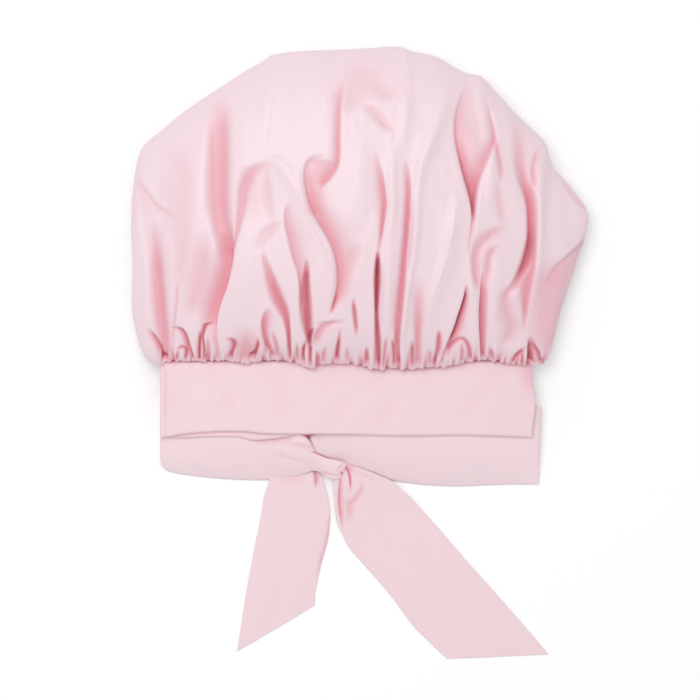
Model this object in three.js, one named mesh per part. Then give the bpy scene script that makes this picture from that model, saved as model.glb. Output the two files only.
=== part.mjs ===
// A tie-back hair bonnet, lying flat on a table with its front up.
// A gathered crown of three panels is sewn into a folded front band and, at the back, into a casing
// with an elastic in it. A tie is sewn under each end of the band, folds back under it and meets the
// other in a half knot, and the tails of both lie below it.
// Millimetres. X runs along the band, Y from the tails to the top of the crown, Z up from the table.
import * as THREE from "three";

// Front band: one strip folded along its lower edge round a stiff core
const band_length = 279;
const band_width = 56.5;
const band_cloth = 0.7;
const band_gap = 2.4;
const band_rise = 19;
const band_end_rise = 13.5;
const band_bow = 3;
const band_core_thickness = 0.8;
const clearance = 0.3;

// Crown: left, centre and right panels of satin
const crown_left_overhang = 22;
const crown_right_overhang = 42;
const crown_height = 235;
const crown_loft = 55;
const satin = 0.9;
const crown_tuck = 7;
const seam_flange = 5;
const fold_depth = 11;
const gather_depth = 3;
const nape_gather_depth = 2.2;

// Nape: a casing folded round an elastic
const nape_drop = 14;
const nape_side_inset = 12;
const casing_width = 12;
const casing_cloth = 0.7;
const casing_gap = 2.2;
const nape_tuck = 3;
const elastic_width = 6;
const elastic_thickness = 1.2;

// Ties and their tails
const tie_width = 57.5;
const tie_thickness = 1.2;
const tie_tuck = 30;
const tie_lift = 4.5;
const left_tie_overhang = 0.2;
const right_tie_overhang = 4.9;
const left_tie_drop = 54;
const right_tie_drop = 63.75;
const knot_left_of_middle = 16;
const knot_drop = 75.25;
const knot_height = 12;
const left_tail_width = 51;
const left_tail_length = 97;
const left_tail_slant = 45;
const right_tail_width = 58;
const right_tail_length = 126;
const right_tail_slant = 50;
const tail_gap = 0.5;

// Where each tail starts, from the knot
const left_tail_root_left = 22.25;
const left_tail_root_drop = 28.25;
const right_tail_root_right = 42.25;
const right_tail_root_drop = 47.75;

// Angles of the tails in plan, from straight down the table, towards +X
const left_tail_angle = THREE.MathUtils.degToRad(-10.4);
const right_tail_angle = THREE.MathUtils.degToRad(41);

// The crown's places across it: the band's ends and the two seams
const band_left_share = 0.08;
const band_right_share = 0.92;
const left_seam_share = 0.28;
const right_seam_share = 0.58;

// The crown's outline as it lies: place across, then shares of the crown's width and height.
const top_outline_shares = [
  [0, 0, 0.4275],
  [0.04, 0.017, 0.6585],
  [0.12, 0.098, 0.773],
  [0.2, 0.199, 0.8722],
  [0.28, 0.299, 0.9652],
  [0.4, 0.395, 0.9872],
  [0.52, 0.522, 0.9969],
  [0.58, 0.583, 1],
  [0.66, 0.664, 0.9714],
  [0.7, 0.707, 0.9295],
  [0.75, 0.762, 0.907],
  [0.82, 0.834, 0.7955],
  [0.89, 0.906, 0.6769],
  [0.95, 0.963, 0.5461],
  [1, 1, 0.4541],
];
const low_left_outline_shares = [
  [0, 0, 0.4275],
  [0.02, 0.002, 0.223],
  [0.04, 0.009, 0.1024],
  [0.06, 0.026, 0.0165],
];
const low_right_outline_shares = [
  [0.94, 0.915, 0.038],
  [0.96, 0.937, 0.1443],
  [0.98, 0.974, 0.313],
  [1, 1, 0.4541],
];

// The crown's main folds: each a valley with its place across at the foot, middle and head, how far
// up the crown it starts and ends, its depth as a share of fold_depth, and its half width as a share
// of the crown's width.
const fold_shares = [
  { foot: 0.171, middle: 0.209, head: 0.199, from: -0.1, to: 0.92, depth: 1, width: 0.026 },
  { foot: 0.095, middle: 0.075, head: 0.07, from: -0.1, to: 0.5, depth: 0.35, width: 0.022 },
  { foot: 0.39, middle: 0.34, head: 0.32, from: -0.1, to: 0.48, depth: 0.55, width: 0.02 },
  { foot: 0.463, middle: 0.462, head: 0.4, from: 0.02, to: 0.7, depth: 0.7, width: 0.021 },
  { foot: 0.545, middle: 0.55, head: 0.535, from: -0.1, to: 0.72, depth: 0.6, width: 0.019 },
  { foot: 0.605, middle: 0.622, head: 0.6, from: -0.1, to: 0.74, depth: 0.6, width: 0.019 },
  { foot: 0.67, middle: 0.69, head: 0.7, from: -0.1, to: 0.4, depth: 0.4, width: 0.02 },
  { foot: 0.76, middle: 0.757, head: 0.715, from: 0.36, to: 1, depth: 0.8, width: 0.022 },
  { foot: 0.795, middle: 0.77, head: 0.79, from: -0.1, to: 0.5, depth: 0.6, width: 0.02 },
  { foot: 0.884, middle: 0.88, head: 0.83, from: 0.14, to: 0.98, depth: 0.8, width: 0.024 },
];

// The ties' routes: how far along, then how far in and how far down (0 at the side fold, 1 at the
// knot, 2 at the tail's root), and shares of the tie's width, of its turn and of the knot's height
// for its rise and its pleats.
const left_route_shares = [
  [0, 0, 0, 1, 0, 0, 0],
  [0.12, 0.387, 0.318, 1, 0, 0, 0],
  [0.24, 0.611, 0.388, 0.98, 0, 0.14, 0.01],
  [0.36, 0.771, 0.529, 0.74, 0.1, 0.38, 0.05],
  [0.47, 0.887, 0.741, 0.44, 0.25, 0.58, 0.11],
  [0.6, 1.024, 1.089, 0.25, 0.55, 0.63, 0.13],
  [0.7, 1.29, 1.183, 0.2, 0.75, 0.42, 0.13],
  [0.78, 1.45, 1.32, 0.38, 0.88, 0.2, 0.11],
  [0.88, 1.7, 1.63, 0.78, 1, 0.17, 0.04],
  [1, 2, 2, 1.018, 1, 0, 0],
];
const right_route_shares = [
  [0, 0, 0, 1, 0, 0, 0],
  [0.2, 0.634, 0.02, 0.95, 0, 0, 0],
  [0.3, 0.736, 0, 0.83, 0.03, 0.06, 0.03],
  [0.42, 0.833, -0.105, 0.61, 0.08, 0.11, 0.08],
  [0.54, 0.93, 0.105, 0.39, 0.2, 0.16, 0.13],
  [0.66, 1.124, 0.66, 0.3, 0.5, 0.17, 0.14],
  [0.78, 1.596, 1.257, 0.39, 0.8, 0.15, 0.12],
  [0.89, 1.83, 1.628, 0.67, 0.95, 0.06, 0.04],
  [1, 2, 2, 0.895, 1, 0, 0],
];

// Counts
const gather_count = 13;
const nape_gather_count = 17;
const left_panel_columns = 22;
const centre_panel_columns = 23;
const right_panel_columns = 25;
const front_rows = 13;
const back_rows = 8;
const band_columns = 20;
const band_leg_rows = 4;
const casing_columns = 28;
const casing_leg_rows = 2;
const fold_steps = 6;
const tie_pleats = 3;
const tie_run_steps = 24;
const tie_across_steps = 12;
const tie_tuck_steps = 4;
const tail_rows = 12;
const tail_columns = 6;

// Curve shapes, as plain exponents and shares
const puff_power = 0.72;
const side_power = 0.55;
const back_flat_power = 5;
const fan_share = 0.35;
const band_arch_power = 3;
const nape_arch_power = 8;
const tuck_slant_power = 3;
const tie_lift_share = 0.5;
const fold_outset_share = 0.12;
const top_fade_power = 8;
const most_mitre = 1.5;
const seam_start_share = 0.1;
const gather_fade_share = 0.13;
const gather_start_share = 0.03;
const nape_gather_fade_share = 0.26;
const nape_gather_start_share = 0.06;
const fold_end_share = 0.13;
const weld_steps_per_mm = 1000;
const tiny_share = 0.001;

// What follows from the sizes above
const crown_width = crown_left_overhang + band_length + crown_right_overhang;
const crown_left = -band_length / 2 - crown_left_overhang;
const band_top = -satin - clearance;
const band_leg = (band_gap + band_cloth) / 2;
const casing_leg = (casing_gap + casing_cloth) / 2;
const crown_edge_height = band_end_rise;
const nape_rise = casing_cloth / 2 + casing_leg;
const back_level = satin / 2;
const knot = new THREE.Vector2(-knot_left_of_middle, -knot_drop);

const materials = {
  satin: new THREE.MeshStandardMaterial({ color: 0xf2cfd8, roughness: 0.42, metalness: 0 }),
  band: new THREE.MeshStandardMaterial({ color: 0xf4d3da, roughness: 0.6, metalness: 0 }),
  core: new THREE.MeshStandardMaterial({ color: 0xf6f1ee, roughness: 0.9, metalness: 0 }),
  elastic: new THREE.MeshStandardMaterial({ color: 0xf7f4f2, roughness: 0.8, metalness: 0 }),
};

const bonnet = new THREE.Group();

// Plain helpers
const mix = (a, b, share) => a + (b - a) * share;
const within = (value, low, high) => Math.min(high, Math.max(low, value));
const ease = (share) => within(share, 0, 1) ** 2 * (3 - 2 * within(share, 0, 1));

// Reads a table of rows at a place in its first column, smoothly between the rows.
function readTable(rows, place) {
  let i = 1;
  while (i < rows.length - 1 && place > rows[i][0]) i++;
  const before = rows[Math.max(i - 2, 0)];
  const low = rows[i - 1];
  const high = rows[i];
  const after = rows[Math.min(i + 1, rows.length - 1)];
  const span = high[0] - low[0];
  const share = within((place - low[0]) / span, 0, 1);
  return low.slice(1).map((value, k) => {
    const column = k + 1;
    const slopeIn = (high[column] - before[column]) / (high[0] - before[0]);
    const slopeOut = (after[column] - low[column]) / (after[0] - low[0]);
    const a = 2 * share ** 3 - 3 * share ** 2 + 1;
    const b = share ** 3 - 2 * share ** 2 + share;
    const c = share ** 3 - share ** 2;
    return a * value + b * span * slopeIn + (1 - a) * high[column] + c * span * slopeOut;
  });
}

// A cloth solid: the middle surface(i, j) of a sheet, thickened to both sides. Points that fall on
// each other are joined, so a sheet may close on itself or run to a point.
function clothSolid(surface, columns, rows, thickness) {
  const points = [];
  const known = new Map();
  const at = [];
  for (let i = 0; i <= columns; i++) {
    at.push([]);
    for (let j = 0; j <= rows; j++) {
      const p = surface(i, j);
      const key = p.toArray().map((value) => Math.round(value * weld_steps_per_mm)).join();
      if (!known.has(key)) known.set(key, points.push(p) - 1);
      at[i].push(known.get(key));
    }
  }
  const faces = [];
  const addFace = (a, b, c) => {
    if (a !== b && b !== c && c !== a) faces.push([a, b, c]);
  };
  for (let i = 0; i < columns; i++) {
    for (let j = 0; j < rows; j++) {
      addFace(at[i][j], at[i + 1][j], at[i + 1][j + 1]);
      addFace(at[i][j], at[i + 1][j + 1], at[i][j + 1]);
    }
  }
  const faceNormals = faces.map(([a, b, c]) =>
    new THREE.Triangle(points[a], points[b], points[c]).getNormal(new THREE.Vector3()),
  );
  const normals = points.map(() => new THREE.Vector3());
  const least = points.map(() => 1);
  faces.forEach((face, k) => {
    const [a, b, c] = face.map((n) => points[n]);
    const area = new THREE.Triangle(a, b, c).getArea();
    face.forEach((n) => normals[n].addScaledVector(faceNormals[k], area));
  });
  normals.forEach((normal) => normal.normalize());
  faces.forEach((face, k) => {
    face.forEach((n) => {
      least[n] = Math.min(least[n], normals[n].dot(faceNormals[k]));
    });
  });
  const offset = normals.map((normal, n) => {
    const mitre = Math.min(most_mitre, 1 / Math.max(least[n], tiny_share));
    return normal.clone().multiplyScalar((thickness / 2) * mitre);
  });
  const outer = points.map((p, n) => p.clone().add(offset[n]));
  const inner = points.map((p, n) => p.clone().sub(offset[n]));
  const count = points.length;
  const index = [];
  const uses = new Map();
  faces.forEach(([a, b, c]) => {
    index.push(a, b, c, count + c, count + b, count + a);
    [
      [a, b],
      [b, c],
      [c, a],
    ].forEach(([from, to]) => {
      const key = Math.min(from, to) + "," + Math.max(from, to);
      if (!uses.has(key)) uses.set(key, []);
      uses.get(key).push([from, to]);
    });
  });
  for (const found of uses.values()) {
    if (found.length !== 1) continue;
    const [from, to] = found[0];
    index.push(from, count + from, to, to, count + from, count + to);
  }
  const geometry = new THREE.BufferGeometry();
  geometry.setAttribute(
    "position",
    new THREE.Float32BufferAttribute([...outer, ...inner].flatMap((p) => p.toArray()), 3),
  );
  geometry.setIndex(index);
  geometry.computeVertexNormals();
  return geometry;
}

function addPiece(name, geometry, material) {
  const mesh = new THREE.Mesh(geometry, material);
  mesh.name = name;
  bonnet.add(mesh);
}

// Distance along the band from its nearer end, below 0 outside the band.
function fromBandEnd(across) {
  const share = Math.min(across - band_left_share, band_right_share - across);
  return (share * band_length) / (band_right_share - band_left_share);
}

// Height of the band's middle above the table, at a place along it.
function bandRise(x) {
  const out = within(Math.abs((2 * x) / band_length), 0, 1);
  return mix(band_rise, band_end_rise, out ** band_arch_power);
}

// The band's lower edge bows up a little in the middle.
function bandFoot(x) {
  const out = within(Math.abs((2 * x) / band_length), 0, 1);
  return band_top - band_width + band_bow * (1 - out ** 2);
}

// The nape hem: along most of its length it lies on the table, and its ends rise to the band.
function napeOut(x) {
  const half = band_length / 2 - nape_side_inset;
  return within(Math.abs(x) / half, 0, 1) ** nape_arch_power;
}
function napeY(x) {
  return mix(-nape_drop, -casing_width / 2 - clearance, napeOut(x));
}
function napeZ(x) {
  const underBand = bandRise(x) - band_leg - band_cloth / 2 - clearance - casing_leg - casing_cloth / 2;
  return mix(nape_rise, underBand, napeOut(x));
}

// One place of the crown's outline: its top edge, and its foot at the front.
function crownTop(across) {
  const [x, y] = readTable(top_outline_shares, across);
  return new THREE.Vector2(crown_left + crown_width * x, crown_height * y);
}
function crownFoot(across) {
  if (fromBandEnd(across) >= 0) {
    const along = (across - band_left_share) / (band_right_share - band_left_share);
    return new THREE.Vector2(mix(-band_length / 2, band_length / 2, along), 0);
  }
  const left = [...low_left_outline_shares, [band_left_share, crown_left_overhang / crown_width, 0]];
  const right = [[band_right_share, 1 - crown_right_overhang / crown_width, 0], ...low_right_outline_shares];
  const [x, y] = readTable(across < band_left_share ? left : right, across);
  return new THREE.Vector2(crown_left + crown_width * x, crown_height * y);
}

// How far the nape hem is parted from the band: from 0 at the band's ends to 1 where the casing starts.
function napeOpen(across) {
  return ease(fromBandEnd(across) / nape_side_inset);
}

// The smooth crown, before its folds. up runs from 0 at the front band over the top at 1 to 2 at the
// nape. Outside the band's ends, the front and the back meet along the crown's low edge.
function smoothCrown(across, up) {
  const foot = crownFoot(across);
  const top = crownTop(across);
  const inBand = fromBandEnd(across) >= 0;
  const open = napeOpen(across);
  const side = Math.max(Math.sin(Math.PI * across), 0) ** side_power;
  const turn = Math.PI * up;
  const share = (1 - Math.cos(turn)) / 2;
  const round = Math.abs(Math.sin(turn));
  const edge = crown_edge_height;
  const footRise = inBand ? bandRise(foot.x) : edge;
  const bend = Math.sin(Math.PI * share) * fan_share;
  const p = new THREE.Vector3();
  if (up <= 1) {
    const x = mix(foot.x, top.x, share + bend * share * (1 - share));
    const peak = (crown_loft - edge) * side;
    p.set(x, mix(foot.y, top.y, share), mix(footRise, edge, share) + peak * round ** puff_power);
  } else {
    const hemX = within(foot.x, nape_side_inset - band_length / 2, band_length / 2 - nape_side_inset);
    const hemTop = napeY(hemX) + casing_width / 2;
    const hem = new THREE.Vector2(mix(foot.x, hemX, open), mix(foot.y, hemTop, open));
    const flat = 1 - (1 - Math.abs(Math.cos(turn)) ** back_flat_power) ** (1 / back_flat_power);
    const low = edge - (edge - back_level) * side;
    const end = mix(edge, napeZ(hemX), open);
    const level = mix(end, edge, ease(share)) * flat + low * (1 - flat);
    p.set(mix(hem.x, top.x, share + bend * share * (1 - share)), mix(hem.y, top.y, share), level);
  }
  return p;
}

function smoothCrownNormal(across, up) {
  const step = tiny_share;
  const a = smoothCrown(within(across + step, step, 1 - step), up);
  const b = smoothCrown(within(across - step, step, 1 - step), up);
  const c = smoothCrown(across, within(up + step, 0, 2));
  const d = smoothCrown(across, within(up - step, 0, 2));
  return a.sub(b).cross(c.sub(d)).normalize();
}

// Depth of the folds and gathers at a place on the crown.
function foldDepth(across, up) {
  const share = (1 - Math.cos(Math.PI * up)) / 2;
  const along = (across - band_left_share) / (band_right_share - band_left_share);
  const onBand = ease(Math.min(along, 1 - along) * gather_count);
  if (up > 1) {
    const wave = (1 - Math.cos(2 * Math.PI * nape_gather_count * along)) / 2;
    const fade = ease(share / nape_gather_start_share) * Math.exp(-share / nape_gather_fade_share);
    return nape_gather_depth * wave * fade * onBand;
  }
  const held = ease(share / gather_start_share);
  const wave = Math.cos(2 * Math.PI * gather_count * along);
  let depth = gather_depth * wave * Math.exp(-share / gather_fade_share) * held * onBand;
  for (const fold of fold_shares) {
    const low = Math.max(fold.from, 0);
    const halfway = (low + fold.to) / 2;
    const place =
      share < halfway
        ? mix(fold.foot, fold.middle, ease((share - low) / (halfway - low)))
        : mix(fold.middle, fold.head, ease((share - halfway) / (fold.to - halfway)));
    const run = ease((share - fold.from) / fold_end_share) * ease((fold.to - share) / fold_end_share);
    depth += fold_depth * fold.depth * run * held * Math.exp(-(((across - place) / fold.width) ** 2));
  }
  return depth * (1 - share ** top_fade_power);
}

function crownPoint(across, up) {
  return smoothCrown(across, up).addScaledVector(smoothCrownNormal(across, up), -foldDepth(across, up));
}

// A panel of the crown, from one place across it to another. Its rows run from the tuck in the
// band over the top to the tuck in the nape casing. At a seam its edge turns in as a flange.
function crownPanel(from, to, columns, seamAtStart, seamAtEnd) {
  const halfSeam = (satin / 2 + clearance) / crown_width;
  const start = from + (seamAtStart ? halfSeam : 0);
  const end = to - (seamAtEnd ? halfSeam : 0);
  const first = seamAtStart ? 1 : 0;
  const last = columns + first;
  const rows = front_rows + back_rows + 2;
  const upOf = (row) => (row <= front_rows ? row / front_rows : 1 + (row - front_rows) / back_rows);
  const surface = (i, j) => {
    const across = mix(start, end, within((i - first) / columns, 0, 1));
    const row = within(j - 1, 0, rows - 2);
    const p = crownPoint(across, upOf(row));
    if (j === 0) p.y -= crown_tuck * ease(fromBandEnd(across) / (2 * crown_tuck));
    if (j === rows) p.y -= nape_tuck * ease(2 * napeOpen(across) - 1);
    if ((i < first || i > last) && j > 1 && j < rows - 1) {
      const up = upOf(row);
      const room = ease(Math.min(up, 2 - up) / seam_start_share);
      p.addScaledVector(smoothCrownNormal(across, up), -seam_flange * room);
    }
    return p;
  };
  return clothSolid(surface, last + (seamAtEnd ? 1 : 0), rows, satin);
}

function frontBand() {
  const legRows = band_leg_rows;
  const rows = 2 * legRows + fold_steps;
  const surface = (i, j) => {
    const x = mix(-band_length / 2, band_length / 2, i / band_columns);
    const foot = bandFoot(x) + band_leg + band_cloth / 2;
    const z = bandRise(x);
    if (j <= legRows) return new THREE.Vector3(x, mix(band_top, foot, j / legRows), z + band_leg);
    if (j >= rows - legRows) {
      return new THREE.Vector3(x, mix(foot, band_top, (j - rows + legRows) / legRows), z - band_leg);
    }
    const turn = (Math.PI * (j - legRows)) / fold_steps;
    return new THREE.Vector3(x, foot - band_leg * Math.sin(turn), z + band_leg * Math.cos(turn));
  };
  return clothSolid(surface, band_columns, rows, band_cloth);
}

// The core fills the band from its fold up to the crown's tuck.
function bandCore() {
  const half = band_length / 2 - band_gap;
  const surface = (i, j) => {
    const x = mix(-half, half, i / band_columns);
    const top = -crown_tuck - satin - clearance;
    const foot = bandFoot(x) + band_cloth + band_gap / 2;
    return new THREE.Vector3(x, mix(foot, top, j), bandRise(x));
  };
  return clothSolid(surface, band_columns, 1, band_core_thickness);
}

function napeCasing() {
  const legRows = casing_leg_rows;
  const rows = 2 * legRows + fold_steps;
  const half = band_length / 2 - nape_side_inset;
  const surface = (i, j) => {
    const x = mix(-half, half, i / casing_columns);
    const mouth = napeY(x) + casing_width / 2;
    const foot = napeY(x) - casing_width / 2 + casing_leg + casing_cloth / 2;
    const z = napeZ(x);
    if (j <= legRows) return new THREE.Vector3(x, mix(mouth, foot, j / legRows), z + casing_leg);
    if (j >= rows - legRows) {
      return new THREE.Vector3(x, mix(foot, mouth, (j - rows + legRows) / legRows), z - casing_leg);
    }
    const turn = (Math.PI * (j - legRows)) / fold_steps;
    return new THREE.Vector3(x, foot - casing_leg * Math.sin(turn), z + casing_leg * Math.cos(turn));
  };
  return clothSolid(surface, casing_columns, rows, casing_cloth);
}

function napeElastic() {
  const half = band_length / 2 - nape_side_inset - casing_gap / 2;
  const surface = (i, j) => {
    const x = mix(-half, half, i / casing_columns);
    const foot = napeY(x) - casing_width / 2 + casing_cloth + casing_gap / 2;
    return new THREE.Vector3(x, foot + elastic_width * j, napeZ(x));
  };
  return clothSolid(surface, casing_columns, 1, elastic_thickness);
}

// A frame that lies along a tail: its root, the way down it and the way across it.
function tailFrame(right, drop, angle) {
  return {
    root: new THREE.Vector2(knot.x + right, knot.y - drop),
    along: new THREE.Vector2(Math.sin(angle), -Math.cos(angle)),
    across: new THREE.Vector2(Math.cos(angle), Math.sin(angle)),
  };
}
const leftTail = tailFrame(-left_tail_root_left, left_tail_root_drop, left_tail_angle);
const rightTail = tailFrame(right_tail_root_right, right_tail_root_drop, right_tail_angle);

// A tie: a strip sewn under the band's end, cut slantwise there so that the band hides it, and folded
// back at the side. From there it runs to the knot with its lower edge on the table and its upper
// edge lifted against the band, is drawn in and pleated, and fans out again to its tail.
function tieStrip(side, overhang, drop, tail, fullTurn, routeShares) {
  const lowZ = (v, run) =>
    tie_thickness / 2 + tie_lift * ease(v + 1 / 2) * (1 - ease(run / tie_lift_share));
  const highZ = (x) => bandRise(x) - band_leg - band_cloth / 2 - clearance - tie_thickness / 2;
  const radiusAt = (v) => (highZ(band_length / 2) - lowZ(v, 0)) / 2;
  const widest = radiusAt(-1 / 2);
  const fold = new THREE.Vector2(side * (band_length / 2 + overhang - tie_thickness / 2 - widest), -drop);
  const tuckSteps = tie_tuck_steps;
  const steps = tuckSteps + fold_steps + tie_run_steps;
  const leg = (from, middle, to, share) =>
    share < 1 ? mix(from, middle, share) : mix(middle, to, share - 1);
  const surface = (i, j) => {
    const v = ((2 * j) / tie_across_steps - 1) / 2;
    const radius = radiusAt(v);
    const outset = side * (widest - radius);
    if (i <= tuckSteps) {
      const x = fold.x - side * tie_tuck * (1 - i / tuckSteps);
      const low = mix(bandFoot(x) + band_cloth, fold.y - tie_width / 2, (i / tuckSteps) ** tuck_slant_power);
      return new THREE.Vector3(x, mix(low, fold.y + tie_width / 2, v + 1 / 2), highZ(x));
    }
    if (i < tuckSteps + fold_steps) {
      const turn = (Math.PI * (i - tuckSteps)) / fold_steps;
      const x = fold.x + outset + side * radius * Math.sin(turn);
      const z = lowZ(v, 0) + radius + radius * Math.cos(turn);
      return new THREE.Vector3(x, fold.y + v * tie_width, z);
    }
    const run = (i - tuckSteps - fold_steps) / tie_run_steps;
    const [inward, fall, width, turn, rise, pleat] = readTable(routeShares, run);
    const x = leg(fold.x, knot.x, tail.root.x, inward) + outset * (1 - ease(run / fold_outset_share));
    const y = leg(fold.y, knot.y, tail.root.y, fall);
    const angle = fullTurn * turn;
    const across = v * tie_width * width;
    const bulge = Math.abs(pleat);
    const lift = knot_height * (Math.max(rise, bulge) + bulge * Math.cos(2 * Math.PI * tie_pleats * v));
    const z = lowZ(v, run) + lift;
    return new THREE.Vector3(x - across * Math.sin(angle), y + across * Math.cos(angle), z);
  };
  return clothSolid(surface, steps, tie_across_steps, tie_thickness);
}

// The left tie crosses over the right one and fans out to the right tail.
const leftTie = () => {
  const fullTurn = right_tail_angle - Math.PI / 2;
  return tieStrip(-1, left_tie_overhang, left_tie_drop, rightTail, fullTurn, left_route_shares);
};

// The right tie passes under the left one and fans out to the left tail.
const rightTie = () => {
  const fullTurn = left_tail_angle + Math.PI / 2;
  return tieStrip(1, right_tie_overhang, right_tie_drop, leftTail, fullTurn, right_route_shares);
};

function placeOnTail(frame, along, across, z) {
  const x = frame.root.x + frame.along.x * along + frame.across.x * across;
  const y = frame.root.y + frame.along.y * along + frame.across.y * across;
  return new THREE.Vector3(x, y, z);
}

// The free part of a tail, with its slanted end. It swells a little off the table along its middle.
function tailBlade(frame, length, width, slant) {
  const surface = (i, j) => {
    const v = ((2 * j) / tail_columns - 1) / 2;
    const down = i / tail_rows;
    const along = mix(tail_gap / 2, length + slant * v, down);
    const lift = tie_thickness * Math.sin(Math.PI * down) ** 2 * (1 - 4 * v ** 2);
    return placeOnTail(frame, along, width * v, tie_thickness / 2 + lift);
  };
  return clothSolid(surface, tail_rows, tail_columns, tie_thickness);
}
const leftTailBlade = () => tailBlade(leftTail, left_tail_length, left_tail_width, -left_tail_slant);
const rightTailBlade = () => tailBlade(rightTail, right_tail_length, right_tail_width, right_tail_slant);

const leftPanel = () => crownPanel(0, left_seam_share, left_panel_columns, false, true);
const centrePanel = () =>
  crownPanel(left_seam_share, right_seam_share, centre_panel_columns, true, true);
const rightPanel = () => crownPanel(right_seam_share, 1, right_panel_columns, true, false);

addPiece("crown_left_panel", leftPanel(), materials.satin);
addPiece("crown_centre_panel", centrePanel(), materials.satin);
addPiece("crown_right_panel", rightPanel(), materials.satin);
addPiece("front_band", frontBand(), materials.band);
addPiece("band_core", bandCore(), materials.core);
addPiece("nape_casing", napeCasing(), materials.band);
addPiece("nape_elastic", napeElastic(), materials.elastic);
addPiece("left_tie", leftTie(), materials.band);
addPiece("right_tie", rightTie(), materials.band);
addPiece("left_tail", leftTailBlade(), materials.band);
addPiece("right_tail", rightTailBlade(), materials.band);

// The origin is under the middle of the whole bonnet, on the table.
const whole = new THREE.Box3().setFromObject(bonnet);
const middle = whole.getCenter(new THREE.Vector3());
bonnet.position.set(-middle.x, -middle.y, -whole.min.z);

export default bonnet;
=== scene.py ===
"""A tie-back satin hair bonnet, lying flat on a pale table with its front up.

Three satin panels make the gathered crown. It is sewn into a folded front band and, behind, into
a casing with an elastic in it. A tie is sewn under each end of the band, and the two meet in a
half knot below it. Plans are drawn in steps of 0.75 mm, counted from the upper left corner, and
heights are in millimetres above the table.
"""

from __future__ import annotations

import logging
from collections.abc import Sequence
from dataclasses import dataclass, replace
from enum import Enum

import bpy
import numpy as np
from numpy.typing import NDArray
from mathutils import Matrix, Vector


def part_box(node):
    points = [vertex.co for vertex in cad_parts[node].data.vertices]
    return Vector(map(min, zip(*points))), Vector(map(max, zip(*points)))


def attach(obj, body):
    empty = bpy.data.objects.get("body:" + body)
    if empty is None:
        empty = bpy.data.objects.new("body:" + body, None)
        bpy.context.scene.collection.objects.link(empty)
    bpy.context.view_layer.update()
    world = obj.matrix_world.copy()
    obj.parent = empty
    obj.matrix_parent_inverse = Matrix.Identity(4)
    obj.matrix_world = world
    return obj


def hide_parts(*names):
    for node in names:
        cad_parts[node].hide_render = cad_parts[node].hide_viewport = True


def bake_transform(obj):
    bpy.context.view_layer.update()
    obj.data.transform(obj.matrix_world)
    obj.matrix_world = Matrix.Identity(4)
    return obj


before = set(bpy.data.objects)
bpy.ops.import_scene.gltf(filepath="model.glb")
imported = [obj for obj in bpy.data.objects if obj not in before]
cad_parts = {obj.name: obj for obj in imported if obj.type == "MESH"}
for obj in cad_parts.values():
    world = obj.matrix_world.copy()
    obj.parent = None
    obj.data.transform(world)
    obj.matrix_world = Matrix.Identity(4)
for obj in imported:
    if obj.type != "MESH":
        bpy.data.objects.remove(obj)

LOG = logging.getLogger("hair_bonnet")

# One millimetre in metres, and one step of the plan in millimetres
MM = 0.001
STEP = 0.75

Grid = NDArray[np.float64]
Spot = tuple[float, float]


class Rest(Enum):
    """How a piece of cloth is held."""

    GATHERED = "gathered"
    FOLDED = "folded"
    LAID = "laid"


# Curves and grids


def ease(share: Grid | float) -> Grid:
    """Smooth step from 0 to 1."""
    held = np.clip(share, 0.0, 1.0)
    return held * held * (3.0 - 2.0 * held)


def mix(low: Grid | float, high: Grid | float, share: Grid | float) -> Grid:
    """Value between low and high."""
    return low + (high - low) * share


def bell(distance: Grid | float, width: float) -> Grid:
    """A soft hump of height 1 that fades over its width."""
    return np.exp(-((np.asarray(distance) / width) ** 2))


def read_table(rows: Grid, place: Grid) -> Grid:
    """Read a table at places in its first column, smoothly between its rows.

    Args:
        rows: One row per known place, with the place first.
        place: Where to read.

    Returns:
        The other columns at each place.
    """
    last = len(rows) - 1
    low = np.clip(np.searchsorted(rows[:, 0], place, side="right") - 1, 0, last - 1)
    a, b = rows[low], rows[low + 1]
    before, after = rows[np.maximum(low - 1, 0)], rows[np.minimum(low + 2, last)]
    span = b[:, :1] - a[:, :1]
    share = np.clip((np.asarray(place)[:, None] - a[:, :1]) / span, 0.0, 1.0)
    slope_in = (b - before) / np.maximum(b[:, :1] - before[:, :1], 1e-9)
    slope_out = (after - a) / np.maximum(after[:, :1] - a[:, :1], 1e-9)
    square, cube = share**2, share**3
    curve = (2 * cube - 3 * square + 1) * a + (cube - 2 * square + share) * span * slope_in
    curve += (3 * square - 2 * cube) * b + (cube - square) * span * slope_out
    return curve[:, 1:]


def smooth_path(points: Sequence[Sequence[float]], count: int) -> Grid:
    """Points at even steps on a smooth curve through the given ones.

    Args:
        points: The curve's own points, in two or more dimensions.
        count: How many points to return.

    Returns:
        One row per point.
    """
    rows = np.array(points, dtype=float)
    place = np.concatenate([[0.0], np.cumsum(np.linalg.norm(np.diff(rows[:, :2], axis=0), axis=1))])
    return read_table(np.column_stack([place, rows]), np.linspace(0.0, place[-1], count))


def grid_normals(points: Grid) -> Grid:
    """Unit normals of a grid of points.

    Args:
        points: Rows of points.

    Returns:
        One normal per point, square to its row and its column.
    """
    down = np.gradient(points, axis=0)
    along = np.gradient(points, axis=1)
    normal = np.cross(along, down)
    return normal / np.maximum(np.linalg.norm(normal, axis=2, keepdims=True), 1e-12)


def grid_lengths(points: Grid) -> Grid:
    """Lay a grid of points out flat, by the lengths of its rows and columns.

    Args:
        points: Rows of points in metres.

    Returns:
        Each point's place on the flat cloth, in metres, with the rows centred.
    """
    along = np.linalg.norm(np.diff(points, axis=1), axis=2)
    down = np.linalg.norm(np.diff(points, axis=0), axis=2)
    flat = np.zeros(points.shape[:2] + (2,))
    flat[:, 1:, 0] = np.cumsum(along, axis=1)
    flat[:, :, 0] -= flat[:, -1:, 0] / 2
    flat[1:, :, 1] = np.cumsum(down, axis=0)
    return flat


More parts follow.
